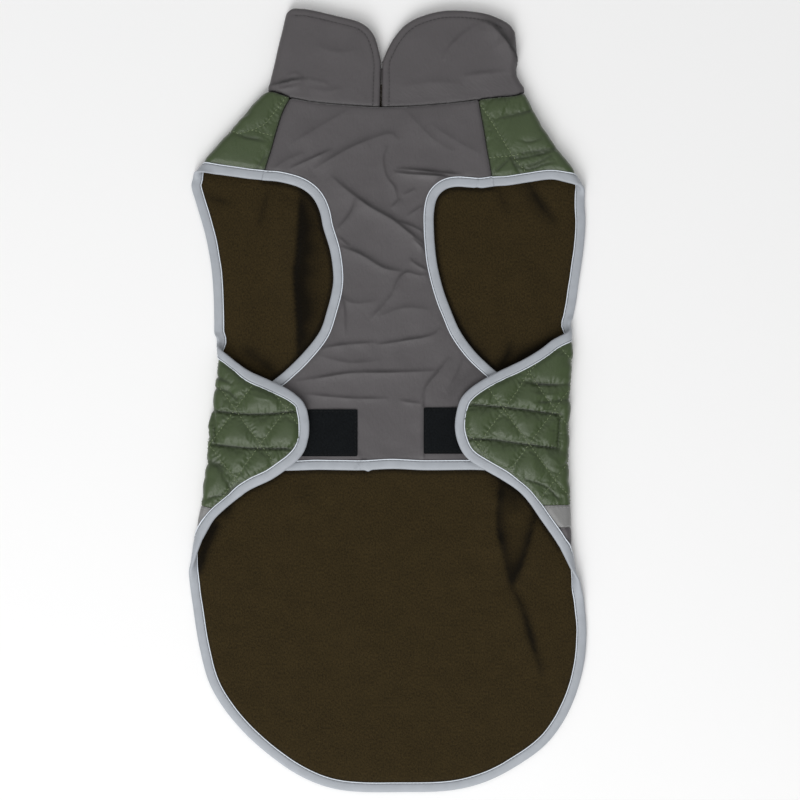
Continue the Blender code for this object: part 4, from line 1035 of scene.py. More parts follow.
def rows_of_spots(pitch, outline):
    """Corners in even rows over the rectangle round an outline."""
    low, high = np.min(outline, axis=0), np.max(outline, axis=0)
    across = np.arange(low[0], high[0], pitch)
    found = []
    for row, y in enumerate(np.arange(low[1], high[1], pitch * math.sqrt(0.75))):
        found.append(np.column_stack([across + (pitch / 2 if row % 2 else 0.0), np.full(len(across), y)]))
    return np.vstack(found)


def past_fold(points):
    """How far each point of the flat coat lies past the start of the nearest bend."""
    best = np.full(len(points), -1e9)
    for fold in SIDES.values():
        along, past = fold.split(points)
        best = np.where(fold.angle(along) > LEAST_TURN, np.maximum(best, past), best)
    return best


# ---- Relief ----

def flap_of(points):
    """Names the fold that turns each point of the flat coat over, or the back."""
    names = np.full(len(points), "back", dtype=object)
    for name, fold in SIDES.items():
        along, past = fold.split(points)
        names[(fold.angle(along) > 0.0) & (past > 0.0)] = name
    return names


def diamonds(crossing, seed):
    """The quilting's stitch lines through and around a crossing, as the cloth lies."""
    lines = []
    for lean in (1.0, -1.0):
        way = unit(np.array([lean * DIAMOND_HALF_WIDTH, DIAMOND_HALF_HEIGHT]))
        side = np.array([way[1], -way[0]])
        far = np.arange(-QUILT_SPAN, QUILT_SPAN, FLAP_PITCH)
        for number in range(-QUILT_ROWS, QUILT_ROWS + 1):
            start = np.array(crossing) + (2 * DIAMOND_HALF_WIDTH * number, 0.0)
            sway = QUILT_SWAY * wander(far, QUILT_SWAY_STEP, seed + 40 * (number + 20) + int(lean))
            lines.append(start + far[:, None] * way + sway[:, None] * side)
    return lines


def quilting_lines():
    """All the rows of quilting on the flat coat: those of each flap, and those of the back."""
    found = []
    for name, fold in SIDES.items():
        if name in SHOULDER_QUILTING:
            lines = [soft(row, FLAP_PITCH) for row in SHOULDER_QUILTING[name]]
        else:
            lines = diamonds(QUILT_CROSSINGS[name], FLAP_SEED)
        found += [(name, fold.unfold(line)) for line in lines]
    found += [("back", line) for line in diamonds(BACK_CROSSING, BACK_SEED)]
    return found


def own_part(name, line, outline):
    """The longest unbroken part of a row that lies on its own flap, inside an outline."""
    mine = (flap_of(line) == name) & inside(line, outline)
    if name == "back":
        mine &= past_fold(line) < ROW_END
    ends = np.flatnonzero(np.diff(np.concatenate([[0], mine.astype(int), [0]])))
    runs = sorted(zip(ends[::2], ends[1::2]), key=lambda run: run[0] - run[1])
    return line[runs[0][0]:runs[0][1]] if runs else line[:0]


def shell_rows(outline):
    """The rows of quilting, the seams of the loop tapes and the deep wrinkles on the flat green shell."""
    quilting = [own_part(name, line, outline) for name, line in quilting_lines()]
    seams, wrinkles = (
        [own_part(name, SIDES[name].unfold(soft(row, FLAP_PITCH)), outline)
         for name, rows in table.items() for row in rows]
        for table in (WING_SEAMS, FLAP_WRINKLES))
    return tuple([row for row in rows if len(row) > 3] for rows in (quilting, seams, wrinkles))


def on_crest(points):
    """How near each point of the flat coat lies to the outermost line of a bend, from 0 to 1."""
    best = np.zeros(len(points))
    for fold in SIDES.values():
        best = np.maximum(best, fold.on_crest(points)[0])
    return best


def puckers(points, rows, seed):
    """How high the stitches of these rows gather the cloth beside them, stronger here and there."""
    spots = np.vstack(rows)
    far = np.concatenate([walked(row) + 50.0 * number for number, row in enumerate(rows)])
    ways = np.vstack([unit(np.gradient(row, axis=0)) for row in rows])
    gap, index = nearest(points, spots)
    along = far[index] + ((points - spots[index]) * ways[index]).sum(axis=1)
    wave = np.sin(2 * math.pi * along / PUCKER_STEP + PUCKER_SWAY * wander(along, PUCKER_SWAY_STEP, seed))
    uneven = np.clip(0.5 + wander(along, PUCKER_LEAST_STEP, seed + 1), 0.0, 1.0)
    height = PUCKER * (PUCKER_LEAST + (1.0 - PUCKER_LEAST) * uneven)
    reach = PUCKER_REACH * (1.0 + 0.5 * wander(along, PUCKER_REACH_STEP, seed + 2))
    return height * wave * np.minimum(gap / PUCKER_START, 1.0) * np.exp(-((gap / reach) ** PUCKER_SHARP))


def scallops(points):
    """How far the bends' outermost lines stand out between the places where the quilting pulls them in."""
    total = np.zeros(len(points))
    for fold in SIDES.values():
        near, along = fold.on_crest(points)
        arch = np.abs(np.sin(math.pi * along / SCALLOP_STEP + wanders(along, [SCALLOP_SWAY])))
        near *= 1.0 - SCALLOP_LESS * (fold.start[1] > SHOULDER_START)
        total = np.where(near > np.abs(total) / SCALLOP, SCALLOP * near * (arch - SCALLOP_MEAN), total)
    return total


def shell_face(points, cut):
    """How far the plain shell's outer face lies outside the coat's middle surface."""
    outer = tucked(SEAM / 2 + WALL, gaps_to(points, cut.bound))
    for level in (REFLECTIVE_TOP, REFLECTIVE_BOTTOM):
        outer = outer - BAND_ROLL * rolled(np.abs(points[:, 1] - level))
    return outer - rolled(gaps_to(points, cut.seams)) - SHELL_CREST * on_crest(points)


def creases_of_flaps(points):
    """The height of the listed creases, where the flaps lie."""
    total = np.zeros(len(points))
    names = flap_of(points)
    for name, fold in SIDES.items():
        mine = names == name
        total[mine] = creased(fold.unfold(points[mine]), FLAP_CREASES)
    return total


def blown(flat, faces, start, held):
    """Blows up a cloth, as its wadding does, and gives how far each corner moves.

    The cloth is cut a little larger than the place where it is held, so that it gathers beside its
    stitches.
    """
    mesh = bpy.data.meshes.new("blown")
    mesh.from_pydata((np.column_stack([flat, start]) * BLOWN_SCALE).tolist(), [], faces.tolist())
    cloth = bpy.data.objects.new("blown", mesh)
    scene = bpy.context.scene
    scene.collection.objects.link(cloth)
    cloth.vertex_groups.new(name="held").add(np.flatnonzero(held).tolist(), 1.0, "REPLACE")
    modifier = cloth.modifiers.new("blown", "CLOTH")
    settings = modifier.settings
    settings.vertex_group_mass = "held"
    settings.quality = BLOWN_STEPS
    settings.tension_stiffness = settings.compression_stiffness = BLOWN_STIFFNESS
    settings.bending_stiffness = BLOWN_BENDING
    settings.air_damping = BLOWN_DAMPING
    settings.use_pressure = True
    settings.uniform_pressure_force = BLOWN_PRESSURE
    settings.shrink_min = settings.shrink_max = -BLOWN_SPARE
    settings.effector_weights.gravity = 0.0
    modifier.collision_settings.use_collision = False
    modifier.point_cache.frame_start = 1
    modifier.point_cache.frame_end = BLOWN_FRAMES
    for step in range(1, BLOWN_FRAMES + 1):
        scene.frame_set(step)
    settled = cloth.evaluated_get(bpy.context.evaluated_depsgraph_get()).data
    corners = np.zeros(len(flat) * 3)
    settled.vertices.foreach_get("co", corners)
    bpy.data.objects.remove(cloth)
    bpy.data.meshes.remove(mesh)
    scene.frame_set(1)
    return corners.reshape(-1, 3) / BLOWN_SCALE - np.column_stack([flat, start])


def puffed(flat, faces, outline, quilting, seams, wrinkles):
    """How far the quilted shell's outer face moves, sideways and outwards, at each corner."""
    start = -around(gaps_to(flat, np.vstack(seams)), GROOVE, SEAM_DEPTH)
    start -= around(gaps_to(flat, np.vstack(wrinkles)), GROOVE, WRINKLE_DEPTH)
    to_row = gaps_to(flat, np.vstack(quilting + seams + wrinkles))
    to_edge = gaps_to(flat, outline)
    inner = eased(to_edge / RIM_REACH)
    moved = blown(flat, faces, start, (to_row < HELD_GAP) | (to_edge < HELD_GAP))
    loft = HIGHEST_LOFT * (1.0 - fading(np.maximum(moved[:, 2], 0.0), HIGHEST_LOFT))
    loft *= 1.0 - (1.0 - CREST_LOFT) * on_crest(flat)
    loft *= np.where(np.abs(flat[:, 1] - SHOULDER_MIDDLE) < SHOULDER_SPAN, SHOULDER_LOFT, WING_LOFT)
    moved[:, 2] = np.where(moved[:, 2] > 0.0, loft, moved[:, 2]) + start
    turned = eased((past_fold(flat) - TURN_START) / TURN_REACH)
    pressed = -VALLEY_SLOPE * np.maximum(VALLEY_DEPTH / VALLEY_SLOPE - np.maximum(moved[:, 2], 0.0), 0.0)
    moved[:, 2] = turned * moved[:, 2] + (1.0 - turned) * pressed * inner
    gathered = puckers(flat, quilting, PUCKER_SEEDS[0]) + puckers(flat, seams, PUCKER_SEEDS[1])
    gathered += creases_of_flaps(flat)
    moved[:, 2] += turned * gathered * np.minimum(2.0 * inner, 1.0) + scallops(flat) * inner
    return moved


def tucked(nominal, gap):
    """The half thickness of a cloth near its bound edge, where the binding pinches it."""
    return TUCKED + (nominal - TUCKED) * eased((gap - TUCK_START) / TUCK_REACH)


def rolled(gap):
    """How far a cloth rolls down at this distance from a sewn seam."""
    return fading(gap, SEAM_ROLL_REACH, SEAM_ROLL)


# ---- Meshes ----

def finish_mesh(name, corners, faces, finish, cut=None, shade=None, replaces=()):
    """Makes a piece of corners in millimetres, faces out, which rides on the coat."""
    mesh = bpy.data.meshes.new(name)
    mesh.from_pydata((corners * MM).tolist(), [], faces)
    mesh.update()
    mesh.calc_loop_triangles()
    sides = np.zeros(len(mesh.loop_triangles) * 3, int)
    mesh.loop_triangles.foreach_get("vertices", sides)
    a, b, c = (corners[sides.reshape(-1, 3)[:, side]] for side in range(3))
    if (a * np.cross(b, c)).sum() < 0.0:
        mesh.flip_normals()
    if cut is not None:
        attribute = mesh.attributes.new("cut", "FLOAT_VECTOR", "POINT")
        flat = np.column_stack([cut, np.zeros(len(cut))]) * MM
        attribute.data.foreach_set("vector", flat.astype(np.float32).ravel())
    if shade is not None:
        attribute = mesh.attributes.new("shade", "FLOAT", "POINT")
        attribute.data.foreach_set("value", shade.astype(np.float32))
    mesh.shade_smooth()
    mesh.materials.append(finish_of(finish))
    piece = bpy.data.objects.new(name, mesh)
    bpy.context.scene.collection.objects.link(piece)
    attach(piece, "root")
    if replaces:
        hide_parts(*replaces)
    return piece


def thinned(points, least):
    """The points that lie no closer than this to an earlier one."""
    kept = []
    cells = {}
    for x, y in points:
        column, row = int(x // least), int(y // least)
        near = [spot for i in (-1, 0, 1) for j in (-1, 0, 1)
                for spot in cells.get((column + i, row + j), ())]
        if all((x - a) ** 2 + (y - b) ** 2 >= least * least for a, b in near):
            cells.setdefault((column, row), []).append((x, y))
            kept.append((x, y))
    return np.array(kept)


def cut_out(outline, spots, rows=()):
    """Fills an outline with triangles. Its own corners come first; rows of stitches keep theirs too."""
    if len(rows):
        rows = thinned(np.vstack(rows), LEAST_GAP)
        rows = rows[inside(rows, outline)]
        rows = rows[gaps_to(rows, outline) > LEAST_GAP]
        spots = spots[gaps_to(spots, rows) > LEAST_GAP]
    spots = spots[inside(spots, outline)]
    spots = spots[gaps_to(spots, outline) > LEAST_GAP]
    rim = len(outline)
    corners = [Vector(point) for point in np.vstack([outline, *([rows] if len(rows) else []), spots])]
    sides = [(index, (index + 1) % rim) for index in range(rim)]
    found, _, faces, _, _, _ = delaunay_2d_cdt(corners, sides, [], 1, 0.0001)
    flat = np.array([point[:] for point in found])
    if not np.allclose(flat[:rim], outline, atol=0.001):
        raise RuntimeError("an outline crosses itself")
    return flat, np.array(faces)


def hidden_spots(outline, bends=True):
    """Corners for a face that nothing shows: close together only where the cloth bends."""
    spots = rows_of_spots(HIDDEN_PITCH, outline)
    if not bends:
        return spots
    close = rows_of_spots(CLOTH_PITCH, outline)
    return np.vstack([spots[past_fold(spots) < HIDDEN_START], close[past_fold(close) >= HIDDEN_START]])


def cloth(name, outline, shown, placed, hidden, place_hidden, finish, replaces, shade=0.0):
    """A closed cloth: shown and hidden are its two faces, cut out of one outline."""
    flat, faces = shown
    below, below_faces = cut_out(outline, hidden)
    count, rim = len(flat), len(outline)
    solid = faces.tolist() + (below_faces[:, ::-1] + count).tolist()
    for first in range(rim):
        second = (first + 1) % rim
        solid.append([second, first, first + count, second + count])
    corners = np.vstack([placed, place_hidden(below)])
    shade = np.concatenate([np.broadcast_to(shade, count), np.zeros(len(below))])
    return finish_mesh(name, corners, solid, finish, np.vstack([flat, below]), shade, replaces)


def sheet(outline):
    """Works out the width and length of a cloth's flat cut, and does nothing more with them."""
    width, length = np.ptp(outline, axis=0) * MM


def sweep(name, edge, ways, section, place, replaces, joins, ends):
    """A tape along an edge: a closed section of (inset, outer) rows at each point, and two flat ends.

    joins are rows of CHEST_JOINS, and ends says how far its two ends move inwards and up, so that they meet
    the next tape.
    """
    rings = []
    insets = np.array(section)[:, 0]
    shares = (insets - insets.min()) / np.ptp(insets)
    cut = []
    far = walked(edge)
    near = 1.0 - eased(np.minimum(far, far[-1] - far) / BINDING_END)
    for (inset, outer), share in zip(section, shares):
        uneven = wanders(far, BINDING_WAVES) * (1.0 - near)
        sway = wanders(far, BINDING_SWAY) * (inset > BINDING_INNER) * (1.0 - near) + ends[0] * near
        for x, y, slant, height, out in joins:
            past = far - far[np.argmin(np.hypot(edge[:, 0] - x, edge[:, 1] - y))]
            uneven = uneven + around(past + slant * inset, JOIN_RIDGE, height)
            sway = sway - around(past, JOIN_REACH, out) * (1.0 - inset / JOIN_WIDTH)
        rings.append(place(edge + ways * (inset + sway)[:, None],
                           outer + np.sign(outer) * uneven + ends[1] * near))
        cut.append(np.column_stack([far, np.full(len(far), CUT_WIDTH * share)]))
    size = len(section)
    corners = np.stack(rings, axis=1).reshape(-1, 3)
    faces = []
    for step in range(len(edge) - 1):
        for side in range(size):
            after = (side + 1) % size
            first, second = step * size, (step + 1) * size
            faces.append([first + side, first + after, second + after, second + side])
    faces.append(list(range(size)))
    faces.append([(len(edge) - 1) * size + side for side in reversed(range(size))])
    piece = finish_mesh(name, corners, faces, "silver binding", np.stack(cut, axis=1).reshape(-1, 2),
                        replaces=replaces)
    for face in piece.data.polygons[-2:]:
        face.use_smooth = False
    return piece


def sew(name, rows, length, gap, thread, finish, slant=0.0):
    """Rows of stitches. Each row gives points on the cloth and the cloth's directions there."""
    corners = []
    faces = []
    turns = np.arange(STITCH_SIDES) * 2 * math.pi / STITCH_SIDES
    for line, ways in rows:
        far = walked(line)
        for number, start in enumerate(np.arange(0.0, far[-1] - length, length + gap)):
            marks = [start, start + length / 2, start + length]
            spots = places_at(marks, far, line)
            up = unit(places_at(marks[1], far, ways))
            across = unit(np.cross(spots[2] - spots[0], up))
            lean = across * slant * (-1.0) ** number
            spots = spots + np.outer((-1.0, 0.0, 1.0), lean)
            base = len(corners)
            corners.append(spots[0])
            for share, fat in STITCH_SHAPE:
                middle = places_at(share, (0.0, 0.5, 1.0), spots) + up * thread * STITCH_RAISED * fat
                for turn in turns:
                    around_it = across * math.cos(turn) + up * math.sin(turn)
                    corners.append(middle + around_it * thread * fat / 2)
            corners.append(spots[2])
            last = len(corners) - 1
            for side in range(STITCH_SIDES):
                after = (side + 1) % STITCH_SIDES
                faces.append([base, base + 1 + after, base + 1 + side])
                for ring in range(len(STITCH_SHAPE) - 1):
                    first = base + 1 + ring * STITCH_SIDES
                    faces.append([first + side, first + after, first + STITCH_SIDES + after,
                                  first + STITCH_SIDES + side])
                first = base + 1 + (len(STITCH_SHAPE) - 1) * STITCH_SIDES
                faces.append([first + side, first + after, last])
    return finish_mesh(name, np.array(corners), faces, finish)


def on_face(line, place, outer):
    """A row on a cloth's face: its points, and the directions out of the cloth."""
    outer = np.broadcast_to(outer, len(line)).astype(float)
    low = place(line, outer)
    return low, unit(place(line, outer + np.sign(outer)) - low)


# ---- Finishes ----

SHADOW = 0.12  # share of a cloth's colour that is left where it is shaded in full
GREEN_SHADOW = 0.25
DEEPEST_SHADE = 0.85
RIBS = 7800.0  # of the binding, in radians a metre


class Reading:
    """A number that a node gives. Sums on it add the nodes that work them out."""

    def __init__(self, finish, socket):
        self.finish = finish
        self.socket = socket

    def maths(self, operation, *values):
        return self.finish.add("ShaderNodeMath", {"operation": operation}, dict(enumerate(values)))

    def __add__(self, other):
        return self.maths("ADD", self, other)

    def __sub__(self, other):
        return self.maths("SUBTRACT", self, other)

    def __rsub__(self, other):
        return self.maths("SUBTRACT", other, self)

    def __mul__(self, other):
        return self.maths("MULTIPLY", self, other)

    __radd__ = __add__
    __rmul__ = __mul__


class Finish:
    """One cloth's or tape's material, made of nodes."""

    def __init__(self, name, roughness, shadow=SHADOW, **settings):
        self.shadow = shadow
        self.material = bpy.data.materials.new(name)
        self.material.use_nodes = True
        self.tree = self.material.node_tree
        self.shader = self.tree.nodes["Principled BSDF"]
        self.shader.inputs["Roughness"].default_value = roughness
        for socket, value in settings.items():
            self.shader.inputs[socket.replace("_", " ")].default_value = value
        self.place = self.add("ShaderNodeAttribute", {"attribute_name": "cut"}, output="Vector")
        self.shade = self.add("ShaderNodeAttribute", {"attribute_name": "shade"}, output="Fac")

    def add(self, kind, settings=None, values=None, output=0):
        """Adds a node: its settings come first, then what goes into its sockets."""
        node = self.tree.nodes.new(kind)
        for key, value in (settings or {}).items():
            setattr(node, key, value)
        for key, value in (values or {}).items():
            if isinstance(value, Reading):
                self.tree.links.new(value.socket, node.inputs[key])
            else:
                node.inputs[key].default_value = value
        return Reading(self, node.outputs[output])

    def noise(self, scale, detail, stretch=None):
        """Noise over the flat cloth, from 0 to 1, with this many bumps a metre."""
        place = self.place
        if stretch:
            place = self.add("ShaderNodeMapping", {}, {"Vector": place, "Scale": stretch})
        return self.add("ShaderNodeTexNoise", {}, {"Vector": place, "Scale": scale, "Detail": detail})

    def weave(self, threads):
        """A plain weave, from -1 to 1, with this many threads a metre each way."""
        parts = self.add("ShaderNodeSeparateXYZ", {}, {0: self.place})
        along = Reading(self, parts.socket.node.outputs[0]) * (threads * math.pi)
        across = Reading(self, parts.socket.node.outputs[1]) * (threads * math.pi)
        return along.maths("SINE", along) * across.maths("SINE", across)

    def mixed(self, share, first, second):
        """A colour between two colours."""
        return self.add("ShaderNodeMix", {"data_type": "RGBA"}, {0: share, 6: first, 7: second}, 2)

    def colour(self, share, first, second):
        """Base colour between two colours, painted darker towards a shaded copy of the first where the
        shade attribute says the cloth lies in shade.
        """
        plain = self.mixed(share, (*first, 1.0), (*second, 1.0))
        dark = (*shaded(first, self.shadow), 1.0)
        self.feed("Base Color", self.mixed(self.shade * DEEPEST_SHADE, plain, dark))

    def feed(self, socket, reading):
        self.tree.links.new(reading.socket, self.shader.inputs[socket])

    def bump(self, height, distance, strength):
        values = {"Height": height, "Distance": distance, "Strength": strength}
        self.feed("Normal", self.add("ShaderNodeBump", {}, values))


def shaded(colour, factor):
    return tuple(min(value * factor, 1.0) for value in colour)


def woven_finish(name, colour, roughness, threads, shadow=SHADOW):
    """Tightly woven nylon: a fine weave, soft crinkles and uneven gloss."""
    made = Finish(name, roughness, shadow)
    cloudy = made.noise(55.0, 3.0)
    crinkle = made.noise(420.0, 3.0, (1.0, 0.6, 1.0))
    weave = made.weave(threads)
    made.colour(cloudy * 0.7 + crinkle * 0.3, shaded(colour, 0.86), shaded(colour, 1.14))
    made.feed("Roughness", cloudy * 0.14 + crinkle * 0.10 + (roughness - 0.12))
    made.bump(crinkle * 0.8 + weave * 0.12, 0.0005, 0.65)
    return made.material


def pile_finish(name, colour, depth, sheen):
    """Short soft pile: matt, mottled and finely rough."""
    made = Finish(name, 0.95, Sheen_Weight=sheen, Sheen_Roughness=0.6, Specular_IOR_Level=0.08)
    tuft = made.noise(780.0, 4.0, (1.0, 0.7, 1.0))
    patch = made.noise(70.0, 3.0)
    fleck = made.noise(1200.0, 1.0)
    made.colour(tuft * 1.5 + fleck * 0.8 + patch * 0.35 - 0.825, shaded(colour, 0.45), shaded(colour, 1.55))
    made.bump(tuft + patch * 0.5, depth, 0.9)
    return made.material


def binding_finish(name, colour, roughness):
    """Silver tape with fine ribs across it, a pale lip, and painted shade in the sewn groove beside that.
    """
    made = Finish(name, roughness, Sheen_Weight=0.1)
    parts = made.add("ShaderNodeSeparateXYZ", {}, {0: made.place})
    ribs = parts.maths("SINE", parts * RIBS)
    inset = Reading(made, parts.socket.node.outputs[1])
    lip = inset.maths("GREATER_THAN", inset, LIP_SHARE * CUT_WIDTH * MM)
    # painted shade in the sewn groove
    groove = inset.maths("COMPARE", inset, GROOVE_SHARE * CUT_WIDTH * MM, GROOVE_SHADE_HALF_WIDTH * MM)
    cloudy = made.noise(120.0, 3.0)
    made.colour(cloudy * 0.16 + ribs * 0.02 + lip * 0.75 + 0.27 - groove * 0.30, shaded(colour, 0.45),
                shaded(colour, 2.0))
    made.feed("Roughness", cloudy * 0.2 + (roughness - 0.1))
    made.bump(ribs * 0.25 + cloudy * 0.5, 0.0003, 0.5)
    return made.material


def thread_finish(name, colour, roughness=0.5):
    made = Finish(name, roughness)
    twist = made.noise(1500.0, 2.0)
    made.colour(twist, shaded(colour, 0.75), shaded(colour, 1.2))
    return made.material


FINISHES = {  # slot, maker, colour, how bright beside that colour, and what else the maker takes
    "green nylon": ("green_quilted_nylon", woven_finish, "green_nylon", 1.0, 0.34, 2600.0, GREEN_SHADOW),
    "grey nylon": ("grey_nylon", woven_finish, "grey_nylon", 1.0, 0.50, 2300.0),
    "brown fleece": ("brown_fleece", pile_finish, "fleece", 1.0, 0.0012, 0.03),
    "collar plush": ("collar_plush", pile_finish, "plush", 1.0, 0.0016, 0.10),
    "silver binding": ("silver_binding", binding_finish, "silver", 1.0, 0.50),
    "reflective tape": ("reflective_tape", woven_finish, "reflective", 1.0, 0.45, 1500.0),
    "hook tape": ("hook_and_loop_tape", pile_finish, "black", 1.0, 0.0006, 0.0),
    "loop tape": ("hook_and_loop_tape", pile_finish, "black", 1.0, 0.0010, 0.02),
    "green thread": ("green_quilted_nylon", thread_finish, "green_thread", 1.0),
    "dark green thread": ("green_quilted_nylon", thread_finish, "green_nylon", 0.35),
    "dark thread": ("grey_nylon", thread_finish, "grey_nylon", 0.3),
    "black thread": ("hook_and_loop_tape", thread_finish, "black", 0.4, 0.95),
    "binding thread": ("silver_binding", thread_finish, "silver", 0.4),
    "pale thread": ("reflective_tape", thread_finish, "reflective", 1.7),
}


def finish_of(name):
    """The material with this name, made the first time that a piece asks for it."""
    if name in bpy.data.materials:
        return bpy.data.materials[name]
    _, maker, colour, share, *rest = FINISHES[name]
    return maker(name, shaded(getattr(bpy.context.scene.coat_colours, colour), share), *rest)


# ---- The pieces ----

class COAT_OT_shell(bpy.types.Operator):
    """Makes the shell: quilted green nylon, reflective tape across the back, and the grey tail"""

    bl_idname = "coat.shell"
    bl_label = "Quilted shell"

    def execute(self, context):
        cut = coat_cut()

        def hidden_face(points):
            return place_coat(points, SEAM / 2)

        # Painted shade beside the seams, the binding and the reflective band's seams.
        def seam_shade(points):
            sewn = fading(gaps_to(points, cut.seams), *SEAM_SHADE)
            sewn += fading(gaps_to(points, cut.bound), *SHELL_EDGE_SHADE)
            for level in (REFLECTIVE_TOP, REFLECTIVE_BOTTOM):
                sewn += fading(np.abs(points[:, 1] - level), *BAND_SHADE)
            return sewn

        green = green_part(cut.outline)
        band = cut_level(cut_level(cut.outline, REFLECTIVE_BOTTOM + SEAM / 2, True),
                         REFLECTIVE_TOP - SEAM / 2, False)
        tail = cut_level(cut.outline, REFLECTIVE_BOTTOM - SEAM / 2, False)
        fine = rows_of_spots(FLAP_PITCH, cut.outline)
        coarse = rows_of_spots(BACK_PITCH, cut.outline)
        spots = np.vstack([fine[past_fold(fine) > FINE_START], coarse[past_fold(coarse) <= COARSE_END]])
        quilting, seams, wrinkles = shell_rows(green)
        flat, faces = cut_out(green, spots, seams + wrinkles + quilting)
        moved = puffed(flat, faces, green, quilting, seams, wrinkles)
        moved[:, 2] *= context.scene.coat_sizes.loft / MM / FULL_LOFT
        placed = place_coat(flat + moved[:, :2], shell_face(flat, cut) + moved[:, 2])
        # Painted shade along the loop tapes' seams, the wrinkles and the valleys of the flaps' creases.
        gap, index = nearest(flat, np.vstack(seams))
        upright = np.concatenate([np.full(len(row), abs(row[0][1] - row[-1][1]) > UPRIGHT_SEAM)
                                  for row in seams])
        shade = seam_shade(flat) + around(gap, GROOVE, np.where(upright[index], *LOOP_SEAM_SHADES))
        shade += around(gaps_to(flat, np.vstack(wrinkles)), *WRINKLE_SHADE)
        shade += VALLEY_SHADE * np.clip(-creases_of_flaps(flat), 0.0, 1.0) ** 2
        piece = cloth("quilted_shell", green, (flat, faces), placed, hidden_spots(green), hidden_face,
                      "green nylon", ["shell_quilted"], np.minimum(shade, 1.0))
        sheet(green)
        for name, outline, finish, node in (
            ("reflective_band", band, "reflective tape", "reflective_tape"),
            ("tail_shell", tail, "grey nylon", "shell_tail"),
        ):
            flat, faces = cut_out(outline, spots)
            placed = place_coat(flat, shell_face(flat, cut))
            piece = cloth(name, outline, (flat, faces), placed, hidden_spots(outline), hidden_face,
                          finish, [node], np.minimum(seam_shade(flat), 1.0))
            sheet(outline)
        return {"FINISHED"}


class COAT_OT_lining(bpy.types.Operator):
    """Makes the fleece lining"""

    bl_idname = "coat.lining"
    bl_label = "Fleece lining"

    def execute(self, context):
        cut = coat_cut()
        loop = cut.outline
        chest = even(np.array(CHEST_EDGE + LEFT_SEAM[::-1] + RIGHT_SEAM), CHEST_STEP)
        flat, faces = cut_out(loop, rows_of_spots(CLOTH_PITCH, loop))
        gap = gaps_to(flat, cut.bound)
        clear = np.where(inside(flat, chest), 0.0, eased((gaps_to(flat, chest) - FOLD_START) / FOLD_REACH))
        lift = creased(flat, FLEECE_FOLDS, FOLD_SHARP) * eased((gap - FOLD_START) / FOLD_REACH) * clear
        pile = ripples(flat, FLEECE_RIPPLES) * eased(gap / RIPPLE_REACH)
        pile += ripples(flat, FLEECE_SWELL) * eased((gap - FOLD_START) / SWELL_REACH) * clear
        placed = place_coat(flat, -tucked(SEAM / 2 + WALL + lift + pile, gap))
        # Painted shade in the fleece's folds, beside the binding, and under the chest panel's edge and the
        # wings.
        over = np.vstack([soft(line) for line in (CHEST_EDGE, LEFT_WING, RIGHT_WING)])
        under = around(gaps_to(flat, over), *UNDER_SHADE)
        shade = np.minimum(shades(flat, FLEECE_SHADES) + fading(gap, *FLEECE_EDGE_SHADE) + under, 1.0)
        piece = cloth("fleece_lining", loop, (flat, faces), placed, hidden_spots(loop),
                      lambda points: place_coat(points, -SEAM / 2), "brown fleece", ["lining_fleece"],
                      shade)
        sheet(loop)
        return {"FINISHED"}


class COAT_OT_chest(bpy.types.Operator):
    """Makes the creased chest panel"""

    bl_idname = "coat.chest"
    bl_label = "Chest panel"

    def execute(self, context):
        cut = chest_cut()
        loop = cut.outline
        rows = [soft(row[3], CHEST_PITCH) for row in CHEST_CREASES]
        rows += [row + inward(row) * side * LEAST_GAP * CREASE_SIDES
                 for row in rows for side in (-1.0, 1.0)]
        flat, faces = cut_out(loop, rows_of_spots(CHEST_PITCH, loop), rows)
        gap, to_seam = gaps_to(flat, cut.bound), gaps_to(flat, cut.seams)
        relief = CHEST_RELIEF * creased(flat, CHEST_CREASES) + ripples(flat, CHEST_RIPPLES)
        outer = CHEST_WALL / 2 + relief * eased(gap / CHEST_RELIEF_REACH) - rolled(to_seam)
        placed = place_chest(flat, tucked(outer, gap))
        # Painted shade beside the creases and in CHEST_SHADES, and beside the seams and the binding.
        dark = [(CREASE_SHADE * min(height, CREASE_SHADE_HIGHEST), min(left_width, CREASE_SHADE_WIDEST),
                 CREASE_SHADE_RIGHT, line) for height, left_width, _, line in CHEST_CREASES] + CHEST_SHADES
        sewn = fading(to_seam, *SEAM_SHADE) + fading(gap, *CHEST_EDGE_SHADE)
        piece = cloth("chest_cloth", loop, (flat, faces), placed, hidden_spots(loop, False),
                      lambda points: place_chest(points, -CHEST_WALL / 2 + SEAM), "grey nylon",
                      ["chest_panel"], np.minimum(shades(flat, dark) + sewn, 1.0))
        sheet(loop)
        return {"FINISHED"}


def front_of_collar(points, read):
    """Reads something where the collar's turned front lies; it is 0 on the rest."""
    total = np.zeros(len(points))
    for fold in COLLAR.values():
        _, past = fold.split(points)
        there = past > math.pi * fold.radius / 2
        total[there] = read(fold.unfold(points[there]))
    return total


